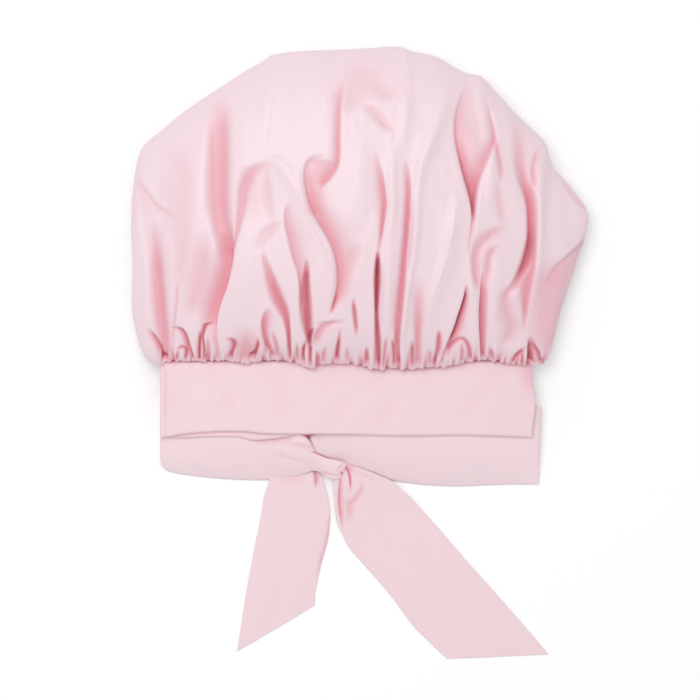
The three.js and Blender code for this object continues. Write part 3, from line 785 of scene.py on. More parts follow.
CENTRE_FOLDS: tuple[Fold, ...] = (
    Fold(((264.5, 253, 1.5, 0), (266, 262, 2.4, 1.6), (269.5, 273, 3.6, 2.6), (273.5, 286, 5.2, 3.6),
          (278.5, 300, 5.6, 4.6), (283.5, 311, 4.6, 5.4), (286.8, 320, 3, 5.4), (288.6, 330, 2.1, 5),
          (289.6, 342, 1.7, 4.6), (290, 358, 1.6, 4), (290, 372, 1.6, 4)), Side.BOTH, 0.8, 2.8),
    Fold(((269, 309, 3, 0), (265.5, 315, 6, 2), (263.3, 323, 7, 3), (263.4, 331, 5.5, 3.6),
          (265, 340, 4.6, 4), (268, 350, 4.6, 4.4), (273, 360, 3.6, 4), (275, 372, 3, 3)), Side.RIGHT, 0.78,
         2.0, 1.2),
    Fold(((272.5, 330, 1.5, 0), (275.5, 341, 2.2, 1.8), (278, 352, 2.4, 2.4), (280.5, 372, 2.2, 2.4)),
         Side.BOTH, 0.6),
    Fold(((290.5, 204, 2, 0), (287, 212.5, 4.4, 1.6), (286.5, 224, 7.4, 2.6), (289, 236, 9.5, 3.2),
          (292.3, 250, 9.5, 3.6), (295.5, 262, 8.5, 3.8), (299.3, 273, 6.4, 4), (301, 284, 4.4, 4),
          (301.6, 300, 3, 3), (302, 316, 2, 0)), Side.RIGHT, 0.46, 1.6, 1.3),
    Fold(((306.8, 260, 1.4, 0), (306.8, 270, 2.4, 3.4), (306.2, 280, 3.3, 5.4), (306, 292, 4.2, 6.4),
          (306.3, 305, 4.9, 7), (307, 318, 4.9, 7), (307.8, 328, 4, 6.6), (309, 337, 2.6, 5.4),
          (310, 346, 1.8, 4), (310.5, 354, 1.2, 0)), Side.BOTH, 0.9, 2.6),
    Fold(((323, 322, 2, 0), (317.5, 328, 2, -1.6), (313, 336, 2, -2.2), (310.5, 345, 2, -1.6),
          (309, 353, 2, 0)), Side.BOTH, 0.0),
    Fold(((307, 340, 1.4, 0), (304, 349, 1.8, 2.4), (303, 358, 1.8, 3), (304, 372, 1.8, 3)), Side.BOTH, 0.95),
    Fold(((312, 345, 1.4, 0), (310.5, 353, 1.7, 2.4), (310.5, 372, 1.7, 2.6)), Side.BOTH, 0.9),
    Fold(((298, 343, 1.4, 0), (297.5, 354, 1.9, 2.2), (297, 372, 2, 2.4)), Side.BOTH, 0.7),
    Fold(((321, 157, 4, 0), (313, 161, 6, 1.4), (308, 166, 7, 2.2), (305.8, 173, 8, 2.6), (305.8, 182, 9, 3),
          (308, 195, 9.5, 3.4), (311.2, 207, 10.5, 3.8), (316, 218, 12, 4.4), (322, 228, 13, 5),
          (328, 238, 12.5, 5.4), (333, 248, 11.5, 5.6), (336, 258, 10, 5.4), (338, 270, 8, 5),
          (338.5, 280, 6.5, 4.6), (337.6, 290, 5.4, 4.2), (335.5, 300, 4.6, 3.6), (332.6, 309, 3.4, 2.4),
          (330.5, 317, 2, 0)), Side.RIGHT, 0.62, 1.5, 1.4, 0.2),
    Fold(((336.5, 292, 1, 0), (335.2, 300, 1.3, 1), (333, 308, 1.3, 1.2), (331, 315, 1, 0)), Side.BOTH, 0.5),
    Fold(((322, 162, 10, 0.4), (324, 169, 11, 1.5), (322, 178, 10, 1.5), (316, 188, 8, 0.6)), Side.BOTH, 0.38,
         3.0),
    Fold(((357, 244, 5, 0), (352, 256, 8, 1.2), (348, 268, 8, 1.5), (345, 282, 7, 1.2), (343, 298, 6, 0.8),
          (341, 312, 5, 0)), Side.BOTH, 0.25),
    Fold(((345, 82, 8, 0), (341, 98, 7, 1.2), (339.5, 112, 5.5, 1.6), (339, 128, 5, 2),
          (338.5, 142, 4.8, 2.4), (338.5, 156, 4.8, 2.6), (337, 167, 5, 2.6), (332, 176, 5.5, 2.4),
          (325, 184, 4.5, 1.8), (318, 193, 2, 0)), Side.LEFT, 0.62, 1.6),
    Fold(((356, 64, 10, 0), (356, 82, 14, 1.5), (352, 100, 12, 1.5), (346, 118, 8, 0)), Side.BOTH, 0.2),
    Fold(((364, 62, 10, 0), (374, 78, 13, 2), (382, 92, 12, 2), (388, 106, 8, 0)), Side.BOTH, 0.2),
    Fold(((366, 104, 3, 0), (374, 114, 5, 1.5), (382, 124, 5.5, 1.6), (392, 137, 4, 0)), Side.BOTH, 0.3),
    Fold(((353, 298, 1.4, 0), (354, 308, 1.9, 2), (355, 318, 2.1, 2.6), (356, 327, 1.9, 2),
          (356.5, 338, 1.2, 0)), Side.BOTH, 0.85),
    Fold(((338.5, 320.5, 3, 0), (332, 322.5, 4.4, 1.8), (326, 325.5, 5, 2.4), (321, 331, 4.6, 2.2),
          (317.5, 339, 3.6, 1.6), (315.5, 348, 2.4, 0)), Side.BOTH, 0.5),
    Fold(((314.5, 327, 1.2, 0), (312, 333, 1.7, 2), (310.3, 340, 1.7, 2.2), (309.8, 348, 1.2, 0)), Side.BOTH,
         0.85),
    Fold(((340.5, 328, 1.2, 0), (339.5, 338, 1.6, 1.6), (338.2, 347, 2, 2.8), (337.3, 355, 2.3, 3.6),
          (337, 372, 2.2, 3.2)), Side.BOTH, 0.95),
    Fold(((347, 346, 1.4, 0), (347.5, 356, 1.9, 1.6), (348, 372, 2, 1.8)), Side.BOTH, 0.5),
    Fold(((326, 346, 1.6, 0), (324, 356, 2.4, 2), (324, 372, 2.4, 2)), Side.BOTH, 0.65),
    Fold(((317, 350, 1.4, 0), (318, 358, 1.8, 1.8), (318, 372, 1.8, 1.8)), Side.BOTH, 0.65),
    Fold(((376, 152, 3, 0), (378.5, 166, 4.4, 1.2), (381.8, 180, 5.4, 2.4), (383.8, 193, 6, 3.4),
          (385, 206, 5.4, 4.4), (384, 216, 4, 4.4), (382.5, 227, 2.8, 3.6), (380.8, 238, 2, 2.6),
          (379.3, 248, 1.5, 1.6), (378.4, 257, 1.2, 0)), Side.LEFT, 0.66, 1.7, 1.1),
    Fold(((377.6, 251, 1, 0), (377.4, 260, 1.9, 4.6), (377.1, 272, 2.5, 7.5), (376.8, 286, 2.5, 7.5),
          (376.4, 300, 2, 6.5), (376.3, 314, 1.7, 4.6), (376.8, 328, 2.1, 4.6), (377.6, 342, 2.8, 4.6),
          (377.8, 354, 3, 4.6), (377, 372, 3, 4.4)), Side.BOTH, 1.0, 2.6),
    Fold(((380, 262, 3, 0), (379.6, 285, 3.4, 0.8), (379, 315, 3.4, 0.8), (378.5, 345, 3.4, 0)), Side.BOTH,
         0.2),
    Fold(((366.5, 346, 1.5, 0), (366.5, 356, 2, 2.4), (366, 372, 2, 2.6)), Side.BOTH, 0.85),
    Fold(((386.5, 336, 1.4, 0), (385, 348, 1.8, 1.8), (383, 372, 2, 2.2)), Side.BOTH, 0.7),
    Fold(((404.5, 160, 2, 0), (407.4, 174, 4, 2), (408.7, 190, 4.4, 3.4), (408.4, 206, 4.4, 3.8),
          (407.2, 225, 4.4, 4), (405.8, 245, 4.4, 4), (404.6, 260, 4.8, 4.6), (403.8, 275, 5, 5.4),
          (402.4, 292, 5.4, 5.8), (401, 308, 5.6, 5.8), (399.4, 325, 5.4, 5.2), (398.2, 342, 4.4, 4.6),
          (398.2, 356, 3.6, 4), (398.5, 372, 3, 3.6)), Side.LEFT, 0.72, 2.0, 1.1),
    Fold(((410, 200, 2.6, 0), (409.5, 225, 3, 0.6), (408, 250, 3, 0.7), (406.4, 272, 2.6, 0)), Side.BOTH,
         0.26),
    Fold(((393.5, 326, 1.5, 0), (393, 338, 1.6, -1.5), (393.3, 352, 1.6, -1.5), (394, 370, 1.6, -1)),
         Side.BOTH, 0.0),
    Fold(((391.5, 338, 1.4, 0), (393, 348, 1.8, 2.2), (393.5, 372, 1.8, 2.2)), Side.BOTH, 0.9),
    Fold(((268, 156, 5, 0), (280, 165, 7, -1.4), (293, 183, 7, -1.8), (302, 204, 7, -1.6),
          (307, 228, 6, -1.2), (307, 252, 5, 0)), Side.BOTH, 0.0),
    Fold(((324, 236, 6, 0), (330, 258, 6, -1), (331, 282, 6, -1), (327, 306, 5, 0)), Side.BOTH, 0.0),
    Fold(((357, 140, 9, 0), (358, 170, 10, -1.2), (360, 205, 9, -1), (362, 232, 7, 0)), Side.BOTH, 0.0),
    Fold(((392, 150, 4, 0), (391.5, 175, 4.6, -1.8), (392.5, 205, 4.6, -2), (390, 235, 5, -1.8),
          (388.5, 270, 5, -1.8), (387, 310, 5, -1.6), (386, 340, 4, 0)), Side.BOTH, 0.0),
)

RIGHT_FOLDS: tuple[Fold, ...] = (
    Fold(((447, 78, 6, 0), (443, 100, 8, -2.6), (437, 122, 8, -3.2), (428, 148, 8, -3.2),
          (420.5, 168, 6, -2.4), (417, 196, 4.6, -2), (415.6, 228, 4.4, -2), (412, 262, 4.4, -2),
          (407.4, 288, 3.8, -1.8), (403.8, 318, 3.6, -1.6), (403, 348, 3.4, 0)), Side.BOTH, 0.0),
    Fold(((402, 46, 5, 0), (406.5, 62, 6, -1.6), (407.5, 90, 6, -1.6), (404.5, 125, 5, -1.4),
          (401, 152, 4, 0)), Side.BOTH, 0.0),
    Fold(((453.8, 206, 1.2, 0), (452.2, 224, 1.7, -0.6), (448, 245, 1.8, -0.7), (444, 262, 1.8, -0.7),
          (438, 281, 1.8, -0.6), (429, 302, 1.4, 0)), Side.BOTH, 0.0),
    Fold(((457, 192, 6, 0), (452, 228, 8, -2.6), (448, 251, 8, -2.6), (439, 280, 8, -2.4),
          (430, 310, 7, -1.4), (425, 345, 6, 0)), Side.BOTH, 0.0),
    Fold(((418, 278, 5, 0), (417.8, 298, 5.4, 1.2), (417.8, 318, 4.6, 2), (417.6, 334, 3.6, 2.8),
          (417.5, 350, 3.2, 3.2), (417.5, 372, 3.2, 3.2)), Side.BOTH, 0.6),
    Fold(((474, 78, 4, 0), (465, 90, 9, 1.2), (460, 104, 16, 2), (456, 122, 25, 2.4), (456.5, 140, 27, 2.6),
          (460, 157, 23, 2.6), (464, 173, 14, 2.6), (467, 188, 9, 2), (468, 204, 5, 0)), Side.RIGHT, 0.2, 6.0,
         3.0),
    Fold(((470, 84, 4, 0), (463.5, 95, 6, 0.8), (459, 106, 7, 1.2), (455.8, 122, 7.5, 1.6),
          (455.6, 138, 8, 2.2), (458, 154, 8.5, 3), (461, 167, 8.5, 3.8), (465, 181, 8, 4.6),
          (469, 193, 5.4, 5.4), (471, 204, 3.2, 5.4), (472, 213, 2, 3.6), (471, 228, 2.2, 1.8),
          (469, 242, 2, 1), (467.5, 258, 1.5, 0)), Side.RIGHT, 0.8, 1.9, 1.8),
    Fold(((482, 94, 3, 0), (487.5, 108, 4, 1.2), (492, 124, 5, 2.4), (494.5, 139, 6, 2.8),
          (490.5, 150, 7, 2.8), (485.5, 161, 7, 3), (480.5, 173, 7, 3.6), (476, 185, 6, 4.4),
          (473.8, 198, 3.6, 4.6), (472.6, 210, 2, 3), (472, 222, 1.6, 0)), Side.LEFT, 0.62, 1.8, 1.4),
    Fold(((494, 138, 2, 0), (496.5, 150, 3, 1.4), (498.5, 162, 3.4, 1.4), (499.5, 175, 3, 0.8),
          (500, 186, 2, 0)), Side.BOTH, 0.5),
    Fold(((496, 182, 3, 0), (498, 198, 4.5, 1), (500, 212, 5, 1.2), (502, 228, 4, 0)), Side.BOTH, 0.2),
    Fold(((502, 226, 4, 0), (494, 231.5, 5.4, 1.2), (486, 238, 6.4, 2), (479.5, 246, 6.6, 2.6),
          (475.4, 257, 6, 2.8), (474.6, 269, 5, 2.8), (476, 281, 4, 2.4), (478.4, 293, 3, 0)), Side.BOTH,
         0.42),
    Fold(((482.4, 270, 2, 0), (480.9, 282, 4.4, 2), (479.8, 295, 5.8, 4), (479, 310, 6.2, 5.2),
          (479.1, 325, 5.8, 5.4), (480, 340, 4.6, 5.2), (480.8, 352, 3.2, 4.6), (481.5, 362, 2.4, 4),
          (482, 372, 2.4, 4)), Side.RIGHT, 0.76, 3.2, 1.0),
    Fold(((495, 245, 3, 0), (490.5, 252, 4.4, 1.4), (487.6, 262, 4.6, 2), (486.6, 274, 4, 2),
          (485.6, 287, 3, 0)), Side.BOTH, 0.4),
    Fold(((465.2, 285, 1, 0), (464, 296, 2, 4.4), (461, 307, 3.8, 6.4), (457.6, 317, 5.2, 6.4),
          (454.5, 327, 6.2, 5.8), (450.5, 337, 6.2, 4.4), (446.5, 346, 5, 3), (442.5, 355, 3, 2.2),
          (440, 367, 2, 2)), Side.RIGHT, 1.0, 1.8, 1.0),
    Fold(((438.5, 329, 1.4, 0), (438.2, 339, 2.4, 2.8), (437.8, 350, 2.6, 3.4), (434.5, 361, 2.2, 3),
          (432, 372, 2, 3)), Side.BOTH, 0.85),
    Fold(((447, 358, 1.5, 0), (449, 348, 1.9, 2), (455, 342, 1.9, 2), (462, 339.5, 1.9, 2.2),
          (467, 345, 2, 2.4), (469.5, 356, 2.2, 2.6), (470, 371, 2.2, 2.6)), Side.BOTH, 0.8),
    Fold(((461, 342, 1.4, 0), (461.5, 354, 1.8, 1.8), (461, 371, 1.8, 1.8)), Side.BOTH, 0.65),
    Fold(((412, 340, 1.6, 0), (412, 352, 2.4, 2.6), (412, 372, 2.4, 2.8)), Side.BOTH, 0.85),
    Fold(((429, 348, 1.5, 0), (429.5, 358, 2, 1.8), (430, 372, 2, 2)), Side.BOTH, 0.6),
    Fold(((517.5, 102, 5, 0), (519, 120, 6.8, 1.6), (519.2, 150, 6.8, 2.4), (520.6, 168, 6.6, 3),
          (523.6, 182, 6, 3.8), (527.5, 194, 5.2, 4.8), (530, 206, 4.4, 6.2), (530.8, 222, 4.3, 7),
          (530.4, 238, 4.3, 7), (528.4, 252, 4.6, 6.6), (525, 264, 4.4, 5.8), (520.5, 274, 4, 4.6),
          (515, 284, 4, 3), (508, 294, 4, 1.6), (503, 304, 4, 0)), Side.BOTH, 0.8, 2.4),
    Fold(((534, 224, 3, 0), (534, 238, 5, 2), (533.8, 254, 9, 3.4), (532.6, 268, 11.5, 4.4),
          (530.6, 282, 11, 4.6), (528.2, 296, 8, 4), (526.4, 310, 5, 3), (525.2, 322, 3, 1.4),
          (524.6, 334, 2, 0)), Side.LEFT, 0.56, 2.6, 1.1),
    Fold(((537.5, 149, 1.6, 0), (534.6, 158, 2.6, 1.4), (532.9, 168, 2.8, 1.8), (533, 180, 2.6, 1.6),
          (534.6, 192, 2, 0)), Side.BOTH, 0.5),
    Fold(((506, 286, 5, 0), (505, 301, 6.4, 1.4), (506.5, 315, 7.4, 2), (510.5, 326, 8.4, 2.4),
          (508, 336, 7, 1.8), (502, 347, 5, 0)), Side.BOTH, 0.36),
    Fold(((553, 256, 14, 0), (553, 280, 22, 1.2), (551, 302, 24, 1.8), (549, 322, 20, 1.8),
          (547, 342, 14, 1.2), (545, 358, 8, 0)), Side.BOTH, 0.36),
    Fold(((550, 162, 3, 0), (557, 174, 5, 1.8), (564, 185, 6.5, 2.6), (572, 196, 7.5, 2.8), (581, 206, 6, 2),
          (588, 212, 4, 0)), Side.RIGHT, 0.6, 2.4, 1.6),
    Fold(((590, 234, 8, 0.6), (583, 243, 15, 1.8), (575, 251, 22, 2.4), (566, 259, 27, 2.6),
          (557, 267, 28, 2.2), (550, 276, 24, 1.2), (546, 290, 16, 0)), Side.RIGHT, 0.28, 1.8, 2.0),
    Fold(((529.5, 336, 3, 0), (528.5, 347, 4.4, 3.5), (529, 356, 5.4, 4.5), (530, 372, 6, 4.5)), Side.RIGHT,
         0.95),
    Fold(((531, 340, 2, 0), (535, 347, 3.2, 2), (539, 354, 3.6, 3), (542, 366, 3.5, 3)), Side.LEFT, 0.9, 2.0,
         1.1, 0.3),
    Fold(((525, 346, 1.6, 0), (519, 353, 2.4, 2.4), (514, 359, 2.6, 3), (509, 370, 2.4, 3)), Side.BOTH, 0.9),
    Fold(((521, 350, 1.5, 0), (521.5, 360, 1.9, 2), (521, 372, 1.9, 2)), Side.BOTH, 0.85),
    Fold(((489, 346, 1.6, 0), (491, 356, 2.2, 2), (493, 371, 2.2, 2)), Side.BOTH, 0.75),
    Fold(((470, 240, 3, 0), (468.5, 262, 3.6, -1.4), (470, 285, 3.6, -1.4), (473.5, 310, 3.6, -1.2),
          (476, 345, 3.4, 0)), Side.BOTH, 0.0),
    Fold(((536, 148, 4, 0), (538.5, 180, 5, -1.2), (539, 215, 5, -1.4), (538.5, 250, 5, -1.3),
          (536, 285, 5, -1.2), (533, 325, 4, 0)), Side.BOTH, 0.0),
    Fold(((492, 146, 3, 0), (491, 165, 4, -1.2), (488, 190, 6, -1.2), (483, 220, 6, 0)), Side.BOTH, 0.0),
    Fold(((498, 255, 6, 0), (495, 285, 7, -1), (493, 320, 6, -1), (496, 345, 5, 0)), Side.BOTH, 0.0),
)

# Where the two seams show on the front: row, then column, from the rim down to the band
SEAM_LINES: tuple[tuple[Spot, ...], ...] = (
    ((50, 279), (57, 280), (85, 278), (100, 274), (125, 270), (150, 266), (162, 264.5), (190, 267),
     (212, 270.5), (240, 266), (280, 260), (320, 255), (370, 250)),
    ((40, 399), (47, 400), (60, 402), (80, 400), (100, 398), (125, 394.5), (160, 393), (220, 390), (290, 386),
     (370, 383)),
)

# The small puckers along the band, where the gathers are sewn in: column, height and lean on the
# plan, depth in millimetres and width on the plan
PUCKERS: tuple[tuple[float, float, float, float, float], ...] = (
    (174, 12, -2, 1.6, 1.9), (192, 8, -2, 1.2, 1.5), (209, 12, 1, 1.5, 1.8), (215, 9, 1, 1.2, 2.0),
    (226, 7, 0, 1.1, 1.6), (240, 8, 1, 1.3, 1.7), (264, 12, -1, 1.8, 1.9), (283, 10, -1, 1.4, 1.8),
    (294, 9, 0, 1.3, 1.7), (318, 9, 2, 1.4, 2.1), (333, 8, 1, 1.2, 1.7), (351, 7, 0, 1.1, 1.8),
    (361, 10, -1, 1.5, 1.9), (378, 8, 0, 1.1, 1.6), (387, 11, 1, 1.5, 1.8), (398, 8, 0, 1.2, 1.6),
    (407, 11, 1, 1.3, 1.9), (425, 9, 0, 1.3, 2.0), (434, 8, 0, 1.1, 1.6), (453, 7, 0, 1.2, 1.7),
    (465, 8, -1, 1.2, 1.6), (475, 9, 0, 1.4, 1.7), (487, 7, 0, 1.1, 1.5), (498, 12, 1, 1.5, 2.1),
    (504, 8, 1, 1.2, 1.7), (516, 7, 1, 1.2, 1.6), (527, 11, 2, 1.6, 1.9), (543, 9, 3, 1.5, 2.0),
)


# Ripples of the whole crown, and of the edge that rolls over the band
SOFT_RIPPLES = Creasing(5, 16, 0.022, 0.06)
FINE_RIPPLES = Creasing(8, 22, 0.007, 0.02, 0.5)
ROLL_RIPPLES = Creasing(17, 9, 0.004, 0.011)


@dataclass
class Crown:
    """The gathered crown: three satin panels, seamed from the nape over the top to the band.

    Columns, rows, roll_past, roll_ripple and the widths and places of the seams' grooves are in
    steps of the plan. Other lengths are in millimetres, and shares run across the crown. A small
    side_fullness stands the crown's sides up steeply, and a small puff does so at the band and
    the rim.
    """

    plan: Plan
    finish: bpy.types.Material
    band_from: float = 161.0
    band_to: float = 533.0
    band_left_share: float = 0.08
    band_right_share: float = 0.92
    seam_shares: tuple[float, float] = (0.28, 0.58)
    seam_row: float = 360.0
    loft: float = 55.0
    rim: float = 13.5
    band_rise: float = 19.0
    band_end_rise: float = 13.5
    side_fullness: float = 0.55
    puff: float = 0.72
    slide: float = 0.35
    end_ease: float = 6.0
    tuck: float = 6.0
    back_level: float = 0.5
    back_squareness: int = 5
    hem_squareness: int = 8
    hem_end_drop: float = 0.3
    nape_drop: float = 14.0
    nape_side_inset: float = 12.0
    casing_width: float = 12.0
    nape_level: float = 1.8
    nape_tuck: float = 3.0
    end_row: float = 366.0
    hem_under_band: float = 4.2
    gather_gap: float = 9.5
    lowest: float = 0.25
    roll_past: float = 1.0
    roll_ripple: float = 1.1
    roll_from: float = 1.9
    roll_rise: float = 3.6
    roll_top: float = 7.0
    roll_fade: float = 17.0
    groove_depth: float = 0.1
    groove_width: float = 1.1
    lip_depth: float = 0.08
    lip_place: float = 3.4
    lip_width: float = 2.4
    groove_fades: tuple[float, float] = (120.0, 180.0)
    soft_ripple: float = 0.4
    fine_ripple: float = 0.1
    back_soft_ripple: float = 0.45
    back_fine_ripple: float = 0.2
    back_deepest: float = 0.3
    side_columns: tuple[int, int] = (42, 54)
    panel_columns: tuple[int, int, int] = (196, 300, 272)
    front_rows: int = 186
    back_rows: int = 34

    def from_band_end(self, across: Grid) -> Grid:
        """Measure along the band from its nearer end.

        Args:
            across: Shares across the crown.

        Returns:
            Distances in millimetres, below 0 outside the band.
        """
        share = np.minimum(across - self.band_left_share, self.band_right_share - across)
        length = (self.band_to - self.band_from) * STEP
        return share * length / (self.band_right_share - self.band_left_share)

    def rise(self, column: Grid) -> Grid:
        """Find how high the middle of the band lies.

        Args:
            column: Columns of the plan.

        Returns:
            Heights in millimetres.
        """
        middle = (self.band_from + self.band_to) / 2
        out = np.clip(np.abs(column - middle) / (self.band_to - middle), 0, 1)
        return mix(self.band_rise, self.band_end_rise, out**3)

    def foot(self, across: Grid) -> Grid:
        """Find the crown's foot, along the band and past its two ends.

        Args:
            across: Shares across the crown.

        Returns:
            Columns and rows of the plan.
        """
        share = (across - self.band_left_share) / (self.band_right_share - self.band_left_share)
        column = mix(self.band_from, self.band_to, share)
        row = np.full_like(across, self.seam_row)
        spots = np.stack([column, row], axis=1)
        left, right = across < self.band_left_share, across > self.band_right_share
        spots[left] = read_table(np.array(LOW_LEFT_OUTLINE), across[left])
        spots[right] = read_table(np.array(LOW_RIGHT_OUTLINE), across[right])
        near = ease(self.from_band_end(across) / self.end_ease)
        inside = ~left & ~right
        spots[inside, 1] = mix(self.end_row, self.seam_row, near)[inside]
        return spots

    def base(self, across: Grid, up: Grid) -> Grid:
        """The smooth crown, before its folds.

        Args:
            across: Shares across the crown, one per column.
            up: Places up the crown, one per row: 0 at the band, 1 at the rim and 2 at the nape.

        Returns:
            Points in plan columns, plan rows and millimetres up.
        """
        foot = self.foot(across)[None]
        top = read_table(np.array(TOP_OUTLINE), across)[None]
        turn = np.pi * up[:, None]
        share = (1 - np.cos(turn)) / 2
        around = np.abs(np.sin(turn))
        side = np.maximum(np.sin(np.pi * across), 0)[None] ** self.side_fullness
        bend = np.sin(np.pi * share) * self.slide
        slide = share + bend * share * (1 - share)
        inside = self.from_band_end(across) >= 0
        foot_rise = np.where(inside, self.rise(foot[0, :, 0]), self.rim)[None]
        front_z = mix(foot_rise, self.rim, share) + (self.loft - self.rim) * side * around**self.puff
        open_share = ease(self.from_band_end(across) / self.nape_side_inset)[None]
        inset = self.nape_side_inset / STEP
        hem_column = np.clip(foot[..., 0], self.band_from + inset, self.band_to - inset)
        middle = (self.band_from + self.band_to) / 2
        out = np.clip(np.abs(hem_column - middle) / (self.band_to - inset - middle), 0, 1)
        out = out**self.hem_squareness
        hem_drop = mix(self.nape_drop - self.casing_width / 2, self.hem_end_drop, out)
        hem_x = mix(foot[..., 0], hem_column, open_share)
        hem_y = mix(foot[..., 1], self.seam_row + hem_drop / STEP, open_share)
        under = self.rise(hem_column) - self.hem_under_band
        hem_z = mix(self.rim, mix(self.nape_level, under, out), open_share)
        square = self.back_squareness
        flat = 1 - (1 - np.abs(np.cos(turn)) ** square) ** (1 / square)
        low = self.rim - (self.rim - self.back_level) * side
        back_z = mix(hem_z, self.rim, ease(share)) * flat + low * (1 - flat)
        front = (up <= 1)[:, None]
        column = np.where(front, mix(foot[..., 0], top[..., 0], slide), mix(hem_x, top[..., 0], slide))
        row = np.where(front, mix(foot[..., 1], top[..., 1], share), mix(hem_y, top[..., 1], share))
        return np.stack([column, row, np.where(front, front_z, back_z)], axis=2)

    def roll(self, points: Grid, across: Grid, up: Grid) -> Grid:
        """How far the cloth rolls forward over the band, in plan rows.

        Args:
            points: The smooth crown.
            across: Shares across the crown.
            up: Places up the crown.

        Returns:
            Rows to add.
        """
        foot = self.foot(across)
        over = read_table(np.array(ROLL_LINE), foot[:, 0])[:, 0] - foot[:, 1] + self.roll_past
        along = foot[:, 0] * self.plan.step
        over = over + self.roll_ripple * ROLL_RIPPLES.height(along, np.zeros_like(along))
        over = np.maximum(over, 0) * ease((self.from_band_end(across) + 2) / 8)
        height = points[..., 2] - self.rise(foot[:, 0])[None]
        bump = ease((height - self.roll_from) / self.roll_rise)
        bump *= 1 - ease((height - self.roll_top) / self.roll_fade)
        return np.where((up <= 0.5)[:, None], over[None] * bump, 0.0)

    def puckers(self, points: Grid, across: Grid) -> Grid:
        """Press in the short puckers above the band.

        Args:
            points: The smooth crown.
            across: Shares across the crown.

        Returns:
            Depths in millimetres.
        """
        foot = self.foot(across)[:, 0][None]
        above = np.maximum(self.seam_row - points[..., 1] + (points[..., 2] - 20) * 0.4, 0)
        depth = np.zeros(points.shape[:2])
        for column, length, lean, deep, width in PUCKERS:
            away = (foot - column - lean * (above / 20.0)) / (width + 0.05 * above)
            across_it = bell(away, 1.0) - 0.2 * bell(np.abs(away) - 2, 0.8)
            depth += deep * np.exp(-((above / length) ** 1.6)) * across_it
        return depth

    def on_seams(self, points: Grid, across: Grid, share: Grid) -> Grid:
        """How far the cloth slides sideways so that its seams keep to their lines, in columns.

        Args:
            points: The smooth crown's front.
            across: Shares across the crown.
            share: Shares of the way from the band to the rim, one per row.

        Returns:
            Columns to add.
        """
        slide = np.zeros(points.shape[:2])
        held = (ease(share / 0.04) * ease((1 - share) / 0.03))[:, None]
        for seam, line in zip(self.seam_shares, SEAM_LINES):
            at = int(np.argmin(np.abs(across - seam)))
            wanted = read_table(np.array(line), points[:, at, 1])[:, 0]
            slide += (wanted - points[:, at, 0])[:, None] * held * bell(across - seam, 0.07)[None]
        return slide

    def seam_groove(self, across: Grid, points: Grid) -> Grid:
        """Press in the fine grooves along the two seams.

        Args:
            across: Shares across the crown.
            points: The smooth crown.

        Returns:
            Depths in millimetres.
        """
        depth = np.zeros(points.shape[:2])
        width = points[:, -1:, 0] - points[:, :1, 0]
        first, last = self.groove_fades
        shown = 1 - ease((points[..., 1] - first) / (last - first))
        for seam in self.seam_shares:
            away = np.abs(across - seam)[None] * width
            pull = 1 + 0.6 * np.sin(points[..., 1] / 3.7 + 3 * np.sin(points[..., 1] / 17))
            groove = self.groove_depth * pull * bell(away, self.groove_width)
            lip = self.lip_depth * bell(away - self.lip_place, self.lip_width)
            depth += (groove - lip) * shown
        return depth

    def nape_gathers(self, points: Grid, across: Grid, up: Grid) -> Grid:
        """Press in the gathers along the nape.

        Args:
            points: The smooth crown.
            across: Shares across the crown.
            up: Places up the crown.

        Returns:
            Depths in millimetres.
        """
        share = (1 - np.cos(np.pi * up))[:, None] / 2
        foot = self.foot(across)[:, 0][None]
        picks = np.random.RandomState(11)
        depth = np.zeros(points.shape[:2])
        for place in np.arange(self.band_from + 14, self.band_to - 12, self.gather_gap):
            column = place + picks.uniform(-2.5, 2.5)
            reach = picks.uniform(0.1, 0.45)
            gap = (foot - column - picks.uniform(-10, 10) * share) / (2.6 + 9 * share)
            depth += picks.uniform(0.8, 2.0) * np.exp(-(gap**2)) * np.exp(-((share / reach) ** 2))
        return depth

    def shares_across(self) -> Grid:
        """Place the grid's columns, with each seam on a column of its own.

        Returns:
            Shares across the crown.
        """
        ends = (0.0, self.band_left_share, *self.seam_shares, self.band_right_share, 1.0)
        counts = (self.side_columns[0], *self.panel_columns, self.side_columns[1])
        spans = zip(ends[:-1], ends[1:], counts)
        runs = [np.linspace(low, high, count + 1)[1:] for low, high, count in spans]
        return np.concatenate([[0.0], *runs])

    def places_up(self) -> tuple[Grid, int]:
        """Place the grid's rows, close together at the band, the rim and the nape.

        Returns:
            Places up the crown, and how many of them are on its front.
        """
        close = np.geomspace(1e-5, 0.016, 24)
        edge = np.geomspace(1e-4, 0.02, 14)
        front = [[0.0], close, np.linspace(close[-1], 1 - edge[-1], self.front_rows)[1:-1], 1 - edge[::-1]]
        shares = np.concatenate([*front, [1.0]])
        back = [1 - edge, np.linspace(1 - edge[-1], close[-1], self.back_rows)[1:-1], close[::-2], [0.0]]
        turned = np.concatenate(back)
        up = np.concatenate([np.arccos(1 - 2 * shares) / np.pi, 2 - np.arccos(1 - 2 * turned) / np.pi])
        return up, len(shares)

    def surface(self) -> tuple[Grid, Grid, Grid, Grid]:
        """Work out the whole crown on one grid.

        Returns:
            The shares across it, the points in metres, the flat places and the painted shade.
        """
        across = self.shares_across()
        up, front_rows = self.places_up()
        share = (1 - np.cos(np.pi * up)) / 2
        inner = np.clip(across, 0.0005, 0.9995)
        points = self.base(inner, up)
        front = slice(0, front_rows)
        points[front, :, 0] += self.on_seams(points[front], inner, share[front])
        points[..., 1] += self.roll(points, inner, up)
        metres = self.plan.metres(points)
        normal = grid_normals(metres)
        normal *= np.sign(normal[: front_rows // 2, :, 2].mean())
        share = share[:, None]
